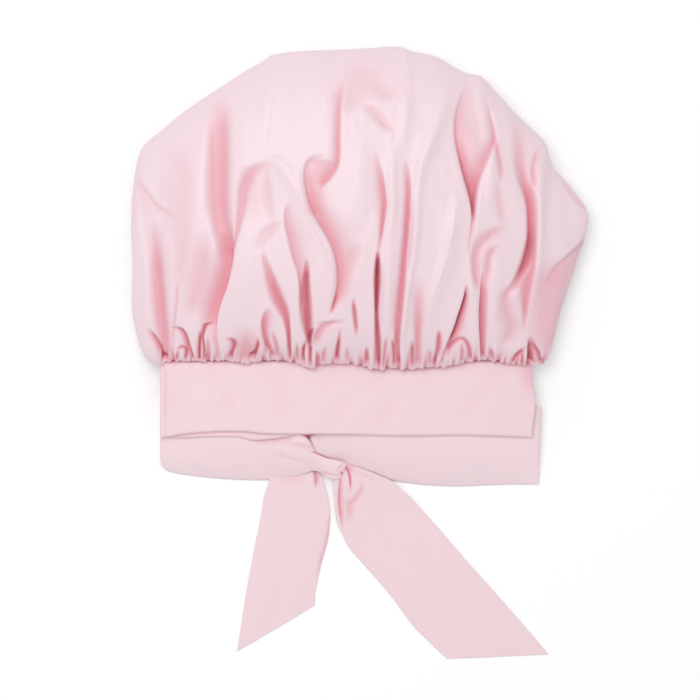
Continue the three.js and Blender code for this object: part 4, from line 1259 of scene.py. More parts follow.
        # The folds fade out close to the band, where the cloth is sewn flat, and at the rim.
        held = ease(share / 0.012) * (1 - share**10)
        on_front = (up <= 1)[:, None]
        spots = points[front, :, :2].reshape(-1, 2)
        # Each fold presses the cloth in and paints shade into its crease; bare is the share left unshaded.
        folds, bare = np.zeros(points.shape[:2]), np.ones(points.shape[:2])
        for fold in (*LEFT_FOLDS, *CENTRE_FOLDS, *RIGHT_FOLDS):
            pressed, crease_shade = fold.press(spots)
            folds[front] += pressed.reshape(folds[front].shape)
            bare[front] *= 1 - crease_shade.reshape(folds[front].shape)
        flat = grid_lengths(metres)
        soft = SOFT_RIPPLES.height(flat[..., 0], flat[..., 1])
        fine = FINE_RIPPLES.height(flat[..., 0], flat[..., 1])
        quiet = 1 - 0.5 * ease((points[..., 0] - 525) / 25)
        small = self.puckers(points, inner)
        ripples = (self.soft_ripple * soft + self.fine_ripple * fine) * quiet
        front_depth = (folds + ripples) * held + small * ease(share / 0.0015)
        front_depth += self.seam_groove(inner, points) * ease(share / 0.03)
        back_ripples = self.back_soft_ripple * soft + self.back_fine_ripple * fine
        back_depth = back_ripples * (1 - share**10) * ease(share / 0.02)
        nape = self.nape_gathers(points, inner, up) * ease(share / 0.004)
        back_depth = np.minimum(back_depth, self.back_deepest) + nape
        depth = np.where(on_front, front_depth, back_depth)
        metres -= normal * depth[..., None] * MM
        metres[..., 2] = np.maximum(metres[..., 2], self.lowest * MM)
        bare = mix(1.0, bare, held)
        # Puckers and gathers 1.5 mm deep or more take most of the painted fold shade.
        pucker_shade = 0.8 * np.clip(np.where(on_front, small, nape) / 1.5, 0, 1)
        return across, metres, flat, 1 - bare * (1 - pucker_shade)

    def build(self) -> None:
        """Cut the crown along its seams into panels, and tuck in their edges."""
        across, points, flat, painted_shade = self.surface()
        names = ("crown_left_panel", "crown_centre_panel", "crown_right_panel")
        ends = (0.0, *self.seam_shares, 1.0)
        for name, low, high in zip(names, ends[:-1], ends[1:]):
            first, last = (int(np.argmin(np.abs(across - end))) for end in (low, high))
            part = points[:, first : last + 1].copy()
            where = flat[:, first : last + 1].copy()
            deep = painted_shade[:, first : last + 1].copy()
            part, where, deep = self.tuck_in(part, where, deep, across[first : last + 1])
            piece = Cloth.sheet(f"satin_{name}", part, where, deep)
            area = Cloth.area(part)
            piece.data.materials.append(self.finish)
            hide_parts(name)
            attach(piece, "bonnet")
            LOG.info("%s: %.0f cm2 of satin", piece.name, area * 1e4)

    def tuck_in(self, part: Grid, where: Grid, deep: Grid, shares: Grid) -> tuple[Grid, Grid, Grid]:
        """Add the rows that are sewn into the band and into the nape casing.

        Args:
            part: The panel's points.
            where: Their places on the flat cloth.
            deep: Their painted shade.
            shares: The panel's shares across the crown.

        Returns:
            The points, places and painted shade with the tucked rows.
        """
        out = self.from_band_end(shares)
        front = part[:1].copy()
        front[0, :, 1] -= self.tuck * MM * ease(out / 10)
        nape = part[-1:].copy()
        nape[0, :, 1] -= self.nape_tuck * MM * ease(2 * ease(out / self.nape_side_inset) - 1)
        low = where[:1].copy()
        low[..., 1] -= self.tuck * MM
        high = where[-1:].copy()
        high[..., 1] += self.nape_tuck * MM
        return (
            np.concatenate([front, part, nape]),
            np.concatenate([low, where, high]),
            np.concatenate([deep[:1], deep, deep[-1:]]),
        )


# The front band


BAND_RIPPLES = Creasing(21, 10, 0.03, 0.09, 0.8)

# Columns and rows of the band's lower edge, and of its facing's edge below it
BAND_FOOT: tuple[Spot, ...] = (
    (155, 437), (163, 437), (185, 433.5), (215, 431), (245, 431), (265, 433), (300, 433.5), (340, 433.5),
    (400, 435), (460, 434.5), (500, 435.5), (531, 437), (540, 437),
)
FACING_FOOT: tuple[Spot, ...] = (
    (160, 436), (163, 437.5), (190, 437.6), (215, 436.6), (240, 437), (252, 440), (275, 438.5), (303, 433.5),
    (310, 432),
)


@dataclass
class FrontBand:
    """The folded front band, its stiff core and the edge of its inner facing.

    Ends, columns, rows, right_bow, pull_width and core_above_foot are in steps of the plan. The
    pinches and pull are shares, and other lengths are in millimetres.
    """

    plan: Plan
    crown: Crown
    finish: bpy.types.Material
    core_finish: bpy.types.Material
    cloth: float = 0.7
    gap: float = 2.2
    core_thickness: float = 0.8
    core_ends: tuple[float, float] = (164.0, 530.0)
    core_top_row: float = 372.0
    core_above_foot: float = 3.5
    facing_cloth: float = 0.5
    facing_ends: tuple[float, float] = (163.0, 302.0)
    facing_top_row: float = 420.0
    facing_under: float = 2.25
    facing_bow: float = 0.25
    left_end: float = 160.6
    right_end: float = 533.2
    top_row: float = 361.0
    width_rows: float = 76.0
    fold_rows: float = 2.0
    pinch: float = 0.75
    back_pinch: float = 0.6
    right_bow: float = 1.8
    bow_columns: tuple[float, float] = (505.0, 533.0)
    bow_row: float = 404.0
    wave: float = 0.28
    pull: float = 0.22
    pull_width: float = 3.6

    def foot_row(self, column: Grid) -> Grid:
        """Row of the band's lower edge at each column."""
        return read_table(np.array(BAND_FOOT), column)[:, 0]

    def front(self) -> bpy.types.Object:
        """Fold the band's strip: its front leg, its fold and its back leg.

        Returns:
            The folded strip.
        """
        columns, legs, turns = 300, 34, 8
        column = np.linspace(self.left_end, self.right_end, columns + 1)
        foot = self.foot_row(column) - self.fold_rows
        rise = self.crown.rise(column)
        rows: list[Grid] = []
        half = self.gap / 2 + self.cloth / 2
        for share in np.linspace(0, 1, legs + 1):
            out = half * (1 - self.pinch * np.exp(-share / 0.02))
            rows.append(np.stack([column, mix(self.top_row, foot, share), rise + out], axis=1))
        for step in range(1, turns):
            turn = np.pi * step / turns
            reach = self.fold_rows * np.sin(turn)
            rows.append(np.stack([column, foot + reach, rise + half * np.cos(turn)], axis=1))
        for share in np.linspace(1, 0, legs // 2 + 1):
            out = half * (1 - self.back_pinch * np.exp(-share / 0.03))
            rows.append(np.stack([column, mix(self.top_row, foot, share), rise - out], axis=1))
        grid = np.stack(rows)
        first, last = self.bow_columns
        bow = self.right_bow * (2 * bell(grid[..., 1] - self.bow_row, 20) - 1)
        grid[..., 0] += ease((grid[..., 0] - first) / (last - first)) * bow
        metres = self.plan.metres(grid)
        flat = grid_lengths(metres)
        front = np.arange(len(grid))[:, None] <= legs + turns
        down = (grid[..., 1] - self.top_row) / self.width_rows
        soft = BAND_RIPPLES.height(flat[..., 0], flat[..., 1])
        # The crown's gathers press into the band's top edge.
        pulls = np.zeros_like(down)
        for place, _, lean, deep, _ in PUCKERS:
            away = grid[..., 0] - place + lean * down
            pulls += deep * self.pull * bell(away, self.pull_width) * np.exp(-np.maximum(down, 0) / 0.12)
        # A row of stitches draws in the band near its left end, and lifts its edge.
        left_stitch = bell(grid[..., 0] - 165.5, 1.6) * 0.5 - bell(grid[..., 0] - 162.0, 1.5) * 0.3
        wave = self.wave * soft * np.sin(np.pi * np.clip(down, 0, 1))
        depth = np.where(front, wave + pulls + left_stitch, 0.1 * soft)
        metres[..., 2] -= np.where(front, depth, -depth) * MM
        # Painted shadow on the band: under the crown's rolled edge, and of the crown's corner at the upper
        # right.
        over = read_table(np.array(ROLL_LINE), column)[:, 0][None]
        past_roll = np.maximum(grid[..., 1] - over, 0)
        under_crown = mix(0.35, 0.75, bell(column - 390, 75))[None] * bell(past_roll, 2.2)
        corner = 0.4 * bell(grid[..., 0] - 531, 10) * bell(np.maximum(grid[..., 1] - 372, 0), 22)
        shade = np.maximum(under_crown, corner)
        # Painted shade in the front's dips and the painted shadow above, and a little painted shade all over
        # the back leg.
        painted_shade = np.where(front, np.maximum(np.clip(depth / 3.0, 0, 1), shade), 0.15)
        piece = Cloth.sheet("band_folded_strip", metres, flat, painted_shade)
        Cloth.thicken(piece, self.cloth)
        piece.data.materials.append(self.finish)
        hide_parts("front_band")
        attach(piece, "bonnet")
        return piece

    def core(self) -> bpy.types.Object:
        """Lay the stiff core between the band's legs.

        Returns:
            The core.
        """
        column = np.linspace(*self.core_ends, 61)
        foot = self.foot_row(column) - self.core_above_foot
        rise = self.crown.rise(column)
        rows: list[Grid] = []
        for share in np.linspace(0, 1, 14):
            rows.append(np.stack([column, mix(self.core_top_row, foot, share), rise], axis=1))
        grid = np.stack(rows)
        metres = self.plan.metres(grid)
        piece = Cloth.sheet("band_stiff_core", metres, grid_lengths(metres))
        Cloth.thicken(piece, self.core_thickness)
        piece.data.materials.append(self.core_finish)
        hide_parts("band_core")
        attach(piece, "bonnet")
        return piece

    def facing(self) -> bpy.types.Object:
        """Lay the inner facing, whose lower edge shows under the band's left half.

        Returns:
            The facing.
        """
        column = np.linspace(*self.facing_ends, 90)
        low = read_table(np.array(FACING_FOOT), column)[:, 0]
        rise = self.crown.rise(column)
        rows: list[Grid] = []
        for share in np.linspace(0, 1, 10):
            z = rise - self.facing_under - self.facing_bow * np.sin(np.pi * share)
            rows.append(np.stack([column, mix(self.facing_top_row, low, share), z], axis=1))
        grid = np.stack(rows)
        metres = self.plan.metres(grid)
        # The facing lies under the band and takes a little painted shade all over.
        painted_shade = np.full(metres.shape[:2], 0.06)
        piece = Cloth.sheet("band_inner_facing", metres, grid_lengths(metres), painted_shade)
        Cloth.thicken(piece, self.facing_cloth)
        piece.data.materials.append(self.finish)
        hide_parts("front_band")
        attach(piece, "bonnet")
        return piece

    def build(self) -> None:
        """Build the band's pieces."""
        for piece in (self.core(), self.front(), self.facing()):
            LOG.info("%s: %d faces", piece.name, len(piece.data.polygons))


# The nape


@dataclass
class NapeHem:
    """The nape's casing, gathered on its elastic.

    Lengths are in millimetres, but fold_rows is in rows of the plan. A pucker stands up by pucker
    in millimetres and reaches past the fold by pucker in rows.
    """

    plan: Plan
    crown: Crown
    finish: bpy.types.Material
    elastic_finish: bpy.types.Material
    width: float = 12.0
    cloth: float = 0.6
    gap: float = 2.2
    fold_rows: float = 2.0
    pucker: float = 0.35
    under_pucker: float = 0.2
    elastic_width: float = 6.0
    elastic_thickness: float = 1.1

    def line(self, count: int) -> tuple[Grid, Grid, Grid]:
        """Lay out the middle of the hem.

        Args:
            count: How many points it has.

        Returns:
            Columns, rows and heights in millimetres.
        """
        crown = self.crown
        inset = crown.nape_side_inset / STEP
        column = np.linspace(crown.band_from + inset, crown.band_to - inset, count)
        middle = (crown.band_from + crown.band_to) / 2
        out = np.clip(np.abs(column - middle) / (crown.band_to - inset - middle), 0, 1)
        out = out**crown.hem_squareness
        drop = mix(crown.nape_drop, self.width / 2 + crown.hem_end_drop, out)
        level = mix(crown.nape_level, crown.rise(column) - crown.hem_under_band, out)
        return column, crown.seam_row + drop / STEP, level

    def casing(self) -> bpy.types.Object:
        """Fold the casing, with the small puckers that the elastic draws.

        Returns:
            The casing.
        """
        column, row, level = self.line(321)
        half = self.gap / 2 + self.cloth / 2
        picks = np.random.RandomState(3)
        drawn = np.sin(np.cumsum(picks.uniform(0.6, 1.4, len(column))) * 0.42)
        reach = self.width / 2 / STEP
        turn_in = reach - self.fold_rows
        rows: list[Grid] = []
        for share in np.linspace(0, 1, 9):
            body = half * (0.55 + 0.45 * ease(share / 0.3))
            z = level + body + self.pucker * drawn * np.sin(np.pi * share)
            rows.append(np.stack([column, row + mix(-reach, turn_in, share), z], axis=1))
        for step in range(1, 6):
            angle = np.pi * step / 6
            edge = (self.fold_rows + self.pucker * drawn) * np.sin(angle)
            rows.append(np.stack([column, row + turn_in + edge, level + half * np.cos(angle)], axis=1))
        for share in np.linspace(1, 0, 9):
            z = level - half + self.under_pucker * (1 + drawn) * np.sin(np.pi * share)
            rows.append(np.stack([column, row + mix(-reach, turn_in, share), z], axis=1))
        grid = np.stack(rows)
        metres = self.plan.metres(grid)
        metres[..., 2] = np.maximum(metres[..., 2], (self.cloth / 2 + 0.05) * MM)
        # The casing takes a little painted shade all over.
        painted_shade = np.full(metres.shape[:2], 0.1)
        piece = Cloth.sheet("nape_folded_casing", metres, grid_lengths(metres), painted_shade)
        Cloth.thicken(piece, self.cloth)
        piece.data.materials.append(self.finish)
        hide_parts("nape_casing")
        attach(piece, "bonnet")
        return piece

    def elastic(self) -> bpy.types.Object:
        """Lay the flat elastic in the casing.

        Returns:
            The elastic.
        """
        column, row, level = self.line(121)
        column, row, level = column[1:-1], row[1:-1], level[1:-1]
        half = self.elastic_width / 2 / STEP
        rows: list[Grid] = []
        for share in np.linspace(-1, 1, 9):
            z = level + 0.1 * np.cos(3 * share)
            rows.append(np.stack([column, row + 1.0 + half * share, z], axis=1))
        grid = np.stack(rows)
        metres = self.plan.metres(grid)
        piece = Cloth.sheet("nape_flat_elastic", metres, grid_lengths(metres))
        Cloth.thicken(piece, self.elastic_thickness)
        piece.data.materials.append(self.elastic_finish)
        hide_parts("nape_elastic")
        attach(piece, "bonnet")
        return piece

    def build(self) -> None:
        """Build the hem's pieces."""
        for piece in (self.elastic(), self.casing()):
            LOG.info("%s: %d faces", piece.name, len(piece.data.polygons))


# The ties


@dataclass(frozen=True)
class Section:
    """One cut across a tie: column, row and height of both its edges, and its bulge."""

    first: tuple[float, float, float]
    second: tuple[float, float, float]
    bulge: float = 0.0


@dataclass
class Strip:
    """A strip of pressed cloth that runs smoothly through its sections."""

    name: str
    plan: Plan
    sections: tuple[Section, ...]
    folds: tuple[Fold, ...]
    steps: int
    across_steps: int = 110
    cloth: float = 0.8
    ripple: float = 0.22
    bulge_squareness: float = 0.8
    seed: int = 31

    def build(self, finish: bpy.types.Material) -> tuple[bpy.types.Object, float, float]:
        """Build the strip, with its folds and ripples pressed in and painted shade laid into its folds.

        Args:
            finish: Its material.

        Returns:
            The piece, its mean width and its length in metres.
        """
        table = np.array([[*cut.first, *cut.second, cut.bulge] for cut in self.sections])
        middles = (table[:, :3] + table[:, 3:6]) / 2
        middles[:, 2] /= STEP
        walked = np.concatenate([[0], np.cumsum(np.linalg.norm(np.diff(middles, axis=0), axis=1))])
        place = np.linspace(0, walked[-1], self.steps + 1)
        cuts = read_table(np.column_stack([walked, table]), place)
        share = np.linspace(0, 1, self.across_steps + 1)[None, :, None]
        grid = mix(cuts[:, None, :3], cuts[:, None, 3:6], share)
        bulge = np.maximum(np.sin(np.pi * share[..., 0]), 0) ** self.bulge_squareness
        grid[..., 2] += cuts[:, 6:7] * bulge
        spots = grid[..., :2].reshape(-1, 2)
        bare = np.ones(grid.shape[:2])
        for fold in self.folds:
            pressed, crease_shade = fold.press(spots)
            grid[..., 2] -= pressed.reshape(bare.shape)
            bare *= 1 - crease_shade.reshape(bare.shape)
        metres = self.plan.metres(grid)
        flat = grid_lengths(metres)
        soft = Creasing(self.seed, 12, 0.018, 0.06, 0.5).height(flat[..., 0], flat[..., 1])
        metres[..., 2] += self.ripple * soft * MM
        metres[..., 2] = np.maximum(metres[..., 2], (self.cloth / 2 + 0.02) * MM)
        piece = Cloth.sheet(self.name, metres, flat, 1 - bare)
        Cloth.thicken(piece, self.cloth)
        piece.data.materials.append(finish)
        length = float(np.linalg.norm(np.diff(metres[:, self.across_steps // 2], axis=0), axis=1).sum())
        return piece, Cloth.area(metres) / length, length


# Cuts across the ties, from the band to the knot, and across the tails, from the knot down
LEFT_TIE: tuple[Section, ...] = (
    Section((190, 396, 3.6), (190, 468, 0.6)),
    Section((172, 395.5, 3.8), (173, 465, 0.7)),
    Section((163.5, 395, 4.6), (165, 461, 1.0)),
    Section((160.7, 395, 6.0), (160.6, 458, 2.2), 0.6),
    Section((160.6, 395, 7.0), (160.2, 460, 3.2), 2.4),
    Section((162.5, 395, 7.4), (162.6, 467, 2.8), 4.4),
    Section((169, 395.5, 7.7), (169.5, 471.3, 1.6), 5.8),
    Section((182, 397, 8.0), (182, 474.3, 1.0), 6.6),
    Section((205, 399, 9.2), (205, 477.3, 0.9), 7.5),
    Section((232, 402, 10.6), (232, 479.3, 0.9), 7.7),
    Section((258, 404, 11.4), (258, 480.2, 1.0), 7.6),
    Section((280, 408, 12.6), (279, 479, 1.4), 6.8),
    Section((296, 416, 14.0), (296, 476, 2.4), 5.5),
    Section((304, 427, 15.4), (306, 473, 3.4), 3.8),
    Section((307.5, 437, 14.5), (312, 470.8, 4.4), 2.8),
    Section((311, 444, 13.0), (317, 471, 5.0), 2.1),
    Section((315.5, 452, 11.4), (321, 473.4, 5.4), 1.7),
    Section((327, 457.8, 10.4), (327.5, 477.2, 5.6), 1.5),
    Section((336, 460.6, 9.8), (334, 479.6, 5.6), 1.4),
    Section((342.5, 462.2, 8.8), (339, 479.2, 5.2), 1.2),
    Section((346, 464.5, 7.2), (342, 476.5, 4.4), 0.6),
    Section((345.5, 467, 5.6), (341, 474.5, 3.8), 0.3),
    Section((340, 466, 4.6), (336, 474, 3.2), 0.1),
    Section((331, 463, 4.2), (329, 472, 2.8)),
)

RIGHT_TIE: tuple[Section, ...] = (
    Section((515, 407, 3.6), (513, 478, 0.6)),
    Section((528, 406.5, 3.8), (527, 480, 0.7)),
    Section((538, 406, 4.6), (535, 481, 1.0)),
    Section((541.4, 406, 6.0), (538.3, 483.6, 1.6), 0.8),
    Section((541.4, 406, 7.6), (538.6, 484.2, 2.2), 2.2),
    Section((538, 406, 9.2), (535.5, 484.3, 1.6), 3.6),
    Section((528, 406.5, 10.6), (526, 484.3, 1.0), 4.5),
    Section((505, 407.5, 12.3), (504, 484.6, 0.9), 5.1),
    Section((480, 408, 13.7), (480, 485.6, 0.9), 5.5),
    Section((455, 408.5, 14.7), (455, 486.4, 0.9), 5.7),
    Section((430, 409, 15.3), (430, 485.2, 1.0), 5.7),
    Section((405, 409.5, 15.6), (406, 482.6, 1.1), 5.8),
    Section((385, 412, 15.7), (389, 480, 1.3), 5.7),
    Section((365, 416, 15.8), (372, 474, 1.5), 5.2),
    Section((348, 420, 15.6), (356, 469, 2.0), 4.2),
    Section((334, 424, 15.0), (343, 466, 2.4), 3.5),
    Section((322, 427, 14.2), (332, 465, 3.4), 3.2),
    Section((311, 430, 13.0), (321, 465, 4.0), 2.8),
    Section((302, 432, 11.4), (312, 467, 3.2), 2.0),
    Section((293, 437, 8.6), (308, 469, 2.2), 1.0),
    Section((286, 446, 4.6), (306, 471, 1.6), 0.3),
)

LEFT_TAIL: tuple[Section, ...] = (
    Section((286, 464, 2.2), (316, 467, 1.6)),
    Section((277, 471, 2.2), (320, 473, 2.2)),
    Section((270.5, 478, 1.9), (323, 480, 2.4)),
    Section((267, 487, 1.4), (325.5, 489, 2.0), 0.2),
    Section((263.2, 500, 1.0), (328.4, 501, 1.5), 0.4),
    Section((260, 520, 0.7), (329.9, 516, 1.0), 0.5),
    Section((254.8, 545, 0.6), (327.8, 541, 0.8), 0.7),
    Section((251, 565, 0.5), (321.8, 562, 0.7), 0.8),
    Section((245.4, 596, 0.5), (316.4, 586, 0.6), 0.7),
    Section((240.8, 625.5, 0.5), (314.6, 597, 0.6), 0.4),
    Section((236.6, 652.6, 0.5), (315, 606, 0.6), 0.2),
)

RIGHT_TAIL: tuple[Section, ...] = (
    Section((336, 461, 4.8), (331, 474, 3.6)),
    Section((343, 462.8, 5.3), (332.5, 479, 3.4), 0.4),
    Section((353, 466, 5.0), (333.2, 488, 3.2), 0.6),
    Section((365, 470, 4.4), (334, 499, 2.8), 0.6),
    Section((379, 475.5, 3.8), (335, 511, 2.2), 0.6),
    Section((392, 481.5, 3.0), (337, 523, 1.6), 0.6),
    Section((403, 491, 2.3), (341.8, 534, 1.2), 0.6),
    Section((413, 500.5, 1.7), (348.6, 547, 0.9), 0.6),
    Section((436, 526, 0.9), (366.6, 568.5, 0.6), 0.8),
    Section((465.6, 560, 0.6), (391, 596.5, 0.6), 0.9),
    Section((499, 597.5, 0.6), (412.6, 625.6, 0.6), 0.9),
    Section((525, 627, 0.6), (430.5, 644, 0.6), 0.5),
    Section((549.3, 655.4, 0.5), (447.1, 659.9, 0.5), 0.2),
)

# Creases where the two ties cross, with painted shade in them, and painted shadow under the band's edge and
# under the left tie's edge
KNOT_FOLDS: tuple[Fold, ...] = (
    Fold(((302, 432.5, 1, 0), (305, 435.2, 1.7, 1.4), (307.4, 437, 1.5, 1.3), (310, 440.5, 1, 0.6),
          (313, 447, 1, 0)), Side.BOTH, 1.0),
    Fold(((314.5, 432, 2, 0.2), (311.5, 434.4, 2.6, 0.7), (308.6, 437.6, 2, 0.5), (308, 440, 1, 0)),
         Side.BOTH, 0.7),
    Fold(((311, 450.6, 0.9, 0), (315, 452.9, 1.1, 0.7), (321, 455.6, 1.1, 0.8), (327, 458.3, 1, 0.6),
          (332, 460, 0.9, 0)), Side.BOTH, 0.9),
    Fold(((295, 442, 4, 0), (301, 445, 5, 0.5), (307, 448, 4.6, 0.5), (311, 451, 3, 0)), Side.BOTH, 0.22),
    Fold(((316.5, 435, 1.4, 0), (319.5, 439, 1.6, 0.2), (320.5, 444, 1.4, 0)), Side.BOTH, 0.2),
    Fold(((248, 435.5, 4, 0), (262, 438.5, 5, 0.3), (282, 438, 5, 0.3), (297, 436, 3, 0)), Side.BOTH, 0.28),
    Fold(((270, 449, 3, 0), (284, 457, 3.6, 0.35), (300, 461, 3, 0.3), (317, 463, 2, 0)), Side.BOTH, 0.14),
    Fold(((318, 470, 2, 0), (326, 473.4, 3.2, 0.4), (335, 475.5, 3, 0.4), (341, 477, 2, 0)), Side.BOTH, 0.3),
    Fold(((344, 461.8, 0.9, 0), (341, 465.6, 1.1, 0.4), (338, 469.6, 1.1, 0.4), (336, 472.6, 0.9, 0)),
         Side.BOTH, 0.4),
    Fold(((346.6, 464, 0.8, 0), (344, 467.2, 1, 0.3), (341, 471, 0.9, 0)), Side.BOTH, 0.35),
    Fold(((340.6, 470.6, 0.9, 0), (341.3, 473, 1.5, 1.2), (342, 475.6, 1, 0)), Side.BOTH, 1.0),
)

# Creases of the tails, mostly just below the knot, with painted shade in them
LEFT_TAIL_FOLDS: tuple[Fold, ...] = (
    Fold(((314, 468, 1.4, 0.8), (315, 474, 1.7, 1.2), (315.7, 482, 1.5, 0.9), (316, 490, 1.2, 0)), Side.RIGHT,
         0.85),
    Fold(((319, 468, 2, 0.3), (318, 476, 2.4, 0.5), (317.4, 488, 2, 0)), Side.BOTH, 0.4),
    Fold(((272, 479, 4, 0), (290, 480, 6, 0.3), (308, 478, 5, 0)), Side.BOTH, 0.16),
    Fold(((330.4, 514, 1.4, 0.1), (329.6, 524, 2, 0.3), (326.4, 541, 2, 0.3), (320.6, 562, 1.8, 0.2),
          (316, 580, 1.4, 0)), Side.BOTH, 0.45),
)

RIGHT_TAIL_FOLDS: tuple[Fold, ...] = (
    Fold(((340.2, 472, 1.6, 0.5), (339.6, 484, 2.4, 1.2), (338.6, 496, 3.4, 1.7), (338.8, 507, 3.6, 1.6),
          (340.4, 518, 3, 1), (342.8, 531, 1.8, 0)), Side.RIGHT, 0.85, 1.6, 0.9, 0.3),
    Fold(((344.4, 466, 1.4, 0.8), (347.4, 470, 1.7, 1.3), (349.6, 476, 1.6, 1.2), (350.5, 485, 1.4, 0.8),
          (350, 495, 1.2, 0)), Side.BOTH, 1.0),
    Fold(((346, 463, 3, 0.3), (350.5, 468, 3.6, 0.5), (353, 475, 3, 0)), Side.BOTH, 0.4),
    Fold(((363, 482, 1.6, 0), (361, 490, 2.6, 0.6), (356.5, 498, 3.4, 0.9), (351, 504.6, 4, 0.9),
          (350, 513, 3.4, 0.6), (351, 525, 2.4, 0)), Side.BOTH, 0.42),
    Fold(((345, 480, 1.6, 0), (344.6, 494, 2, -0.6), (345, 510, 2, -0.6), (347, 526, 1.8, 0)), Side.BOTH,
         0.0),
    Fold(((356, 470, 1.6, 0), (367, 477, 2.2, 0.3), (377, 484, 1.8, 0)), Side.BOTH, 0.15),
)


@dataclass
class Ties:
    """The two ties, their half knot and the tails.
    """

    plan: Plan
    finish: bpy.types.Material
    tail_finish: bpy.types.Material
    tie_steps: int = 360
    tail_steps: int = 340
    bend_before: float = 4.0 * MM
    bend_after: float = 8.0 * MM

    def strap(self, name: str, node: str, sections: tuple[Section, ...], seed: int) -> None:
        """Build one tie from the band to the knot.

        Args:
            name: The piece's name.
            node: The solid that it stands for.
            sections: Its cuts.
            seed: The seed of its ripples.
        """
        strip = Strip(name, self.plan, sections, KNOT_FOLDS, self.tie_steps, seed=seed)
        piece, width, length = strip.build(self.finish)
        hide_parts(node)
        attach(piece, "bonnet")
        LOG.info("%s: %.0f mm long", piece.name, length * 1e3)

    def tail(
        self,
        name: str,
        node: str,
        sections: tuple[Section, ...],
        folds: tuple[Fold, ...],
        seed: int,
    ) -> None:
        """Build one tail from the knot to its end.

        Args:
            name: The piece's name.
            node: The solid that it stands for.
            sections: Its cuts.
            folds: Its creases by the knot.
            seed: The seed of its ripples.
        """
        strip = Strip(name, self.plan, sections, folds, self.tail_steps, seed=seed)
        piece, width, length = strip.build(self.tail_finish)
        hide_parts(node)
        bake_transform(piece)
        LOG.info("%s: %.0f mm long", piece.name, length * 1e3)

    def build(self) -> None:
        """Build both ties and both tails."""
        self.strap("right_tie_strap", "right_tie", RIGHT_TIE, 41)
        self.strap("left_tie_strap", "left_tie", LEFT_TIE, 31)
        self.tail("left_tail_ribbon", "left_tail", LEFT_TAIL, LEFT_TAIL_FOLDS, 51)
        self.tail("right_tail_ribbon", "right_tail", RIGHT_TAIL, RIGHT_TAIL_FOLDS, 61)


# The table, the light and the camera


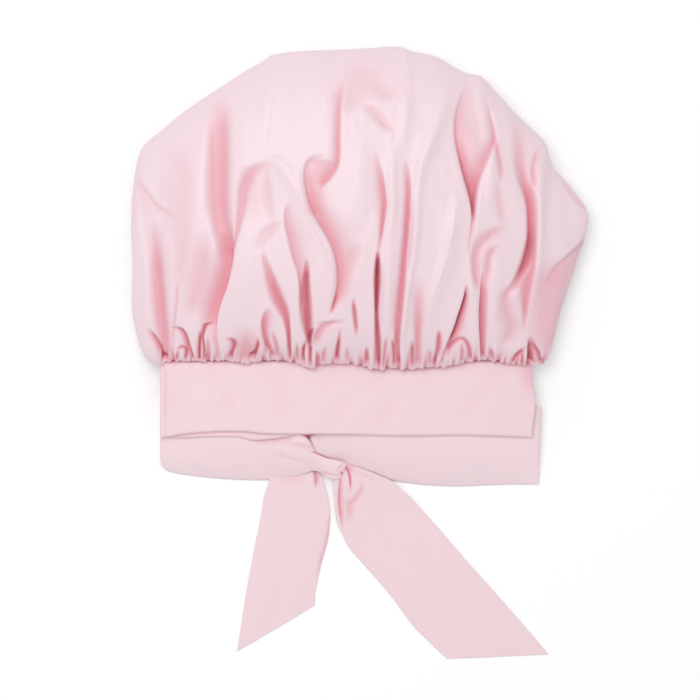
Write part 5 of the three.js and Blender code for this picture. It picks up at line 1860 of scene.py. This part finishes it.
@dataclass
class Studio:
    """A white table under soft light, seen from straight above.

    view_steps is how much of the plan the camera sees across, at the height of framed_level. The
    table has a faint glow, table_lift, that only the camera and mirrored light see. The room
    lights the bonnet with room_light, and the camera sees it as bright as seen_white.
    """

    plan: Plan
    camera_height: float = 3.0
    view_steps: float = 700.0
    framed_level: float = 12.0 * MM
    sensor: float = 36.0
    far_end: float = 20.0
    table_side: float = 6.0
    table_tone: tuple[float, float, float, float] = (0.8, 0.8, 0.805, 1.0)
    table_lift: float = 0.3
    room_tone: tuple[float, float, float, float] = (1.0, 0.99, 0.985, 1.0)
    room_light: float = 0.64
    seen_white: float = 1.0
    lamp_place: tuple[float, float, float] = (-0.4, 0.6, 1.8)
    lamp_side: float = 1.1
    lamp_power: float = 12.2

    def table(self) -> None:
        """Lay the pale table, which the camera sees as plain white."""
        bpy.ops.object.select_all(action="DESELECT")
        bpy.ops.mesh.primitive_plane_add(size=self.table_side, location=(0.0, 0.0, 0.0))
        table = bpy.context.object
        table.name = "table"
        material = bpy.data.materials.new("white table")
        material.use_nodes = True
        nodes = Nodes(material.node_tree)
        out = nodes.add("ShaderNodeOutputMaterial")
        matt = nodes.add("ShaderNodeBsdfDiffuse", {"Color": self.table_tone})
        lift = nodes.add("ShaderNodeEmission", {"Color": (1.0, 1.0, 1.0, 1.0)})
        both = nodes.add("ShaderNodeAddShader")
        path = nodes.add("ShaderNodeLightPath")
        seen = nodes.maths("MAXIMUM", path.outputs["Is Camera Ray"], path.outputs["Is Glossy Ray"])
        seen = nodes.maths("MAXIMUM", seen, path.outputs["Is Transmission Ray"])
        nodes.join(nodes.maths("MULTIPLY", seen, self.table_lift), lift.inputs["Strength"])
        nodes.join(matt.outputs[0], both.inputs[0])
        nodes.join(lift.outputs[0], both.inputs[1])
        nodes.join(both.outputs[0], out.inputs[0])
        table.data.materials.append(material)

    def world(self) -> None:
        """Fill the room with even light, and let the camera see it as plain white."""
        world = bpy.data.worlds.new("soft room")
        bpy.context.scene.world = world
        world.use_nodes = True
        nodes = Nodes(world.node_tree)
        out = nodes.add("ShaderNodeOutputWorld")
        room = nodes.add("ShaderNodeBackground", {"Color": self.room_tone})
        path = nodes.add("ShaderNodeLightPath")
        more = nodes.maths("MULTIPLY", path.outputs["Is Camera Ray"], self.seen_white - self.room_light)
        nodes.join(nodes.maths("ADD", more, self.room_light), room.inputs["Strength"])
        nodes.join(room.outputs[0], out.inputs[0])

    def lamp(self) -> None:
        """Hang a square soft lamp behind and to the left, facing the bonnet."""
        light = bpy.data.lights.new("upper left lamp", "AREA")
        light.shape = "SQUARE"
        light.size = self.lamp_side
        light.energy = self.lamp_power
        lamp = bpy.data.objects.new("upper left lamp", light)
        bpy.context.scene.collection.objects.link(lamp)
        lamp.location = self.lamp_place
        away = -lamp.location
        lamp.rotation_euler = away.to_track_quat("-Z", "Y").to_euler()

    def camera(self) -> None:
        """Hang the camera straight over the middle of the plan."""
        data = bpy.data.cameras.new("camera")
        camera = bpy.data.objects.new("camera", data)
        bpy.context.scene.collection.objects.link(camera)
        middle = self.view_steps / 2
        camera.location = (float(self.plan.x(middle)), float(self.plan.y(middle)), self.camera_height)
        data.sensor_width = self.sensor
        reach = self.camera_height - self.framed_level
        data.lens = self.sensor * reach / (self.view_steps * self.plan.step)
        data.clip_end = self.far_end
        bpy.context.scene.camera = camera

    def build(self) -> None:
        """Set up the table, the light and the camera."""
        self.table()
        self.world()
        self.lamp()
        self.camera()
        bpy.context.scene.view_settings.view_transform = "Standard"


def main() -> None:
    """Build the bonnet on its table."""
    logging.basicConfig(level=logging.INFO, format="%(name)s: %(message)s")
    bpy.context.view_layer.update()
    bpy.ops.object.select_all(action="DESELECT")
    plan = Plan.on_band()
    Studio(plan).build()
    threads = thread_group()
    satin = SATIN.build(threads)
    band_satin = BAND_SATIN.build(threads)
    crown = Crown(plan, satin)
    crown.build()
    FrontBand(plan, crown, band_satin, INTERFACING.build(threads)).build()
    NapeHem(plan, crown, band_satin, ELASTIC.build(threads)).build()
    Ties(plan, LIGHTENED_TIE_SATIN.build(threads), band_satin).build()


if __name__ == "__main__":
    main()
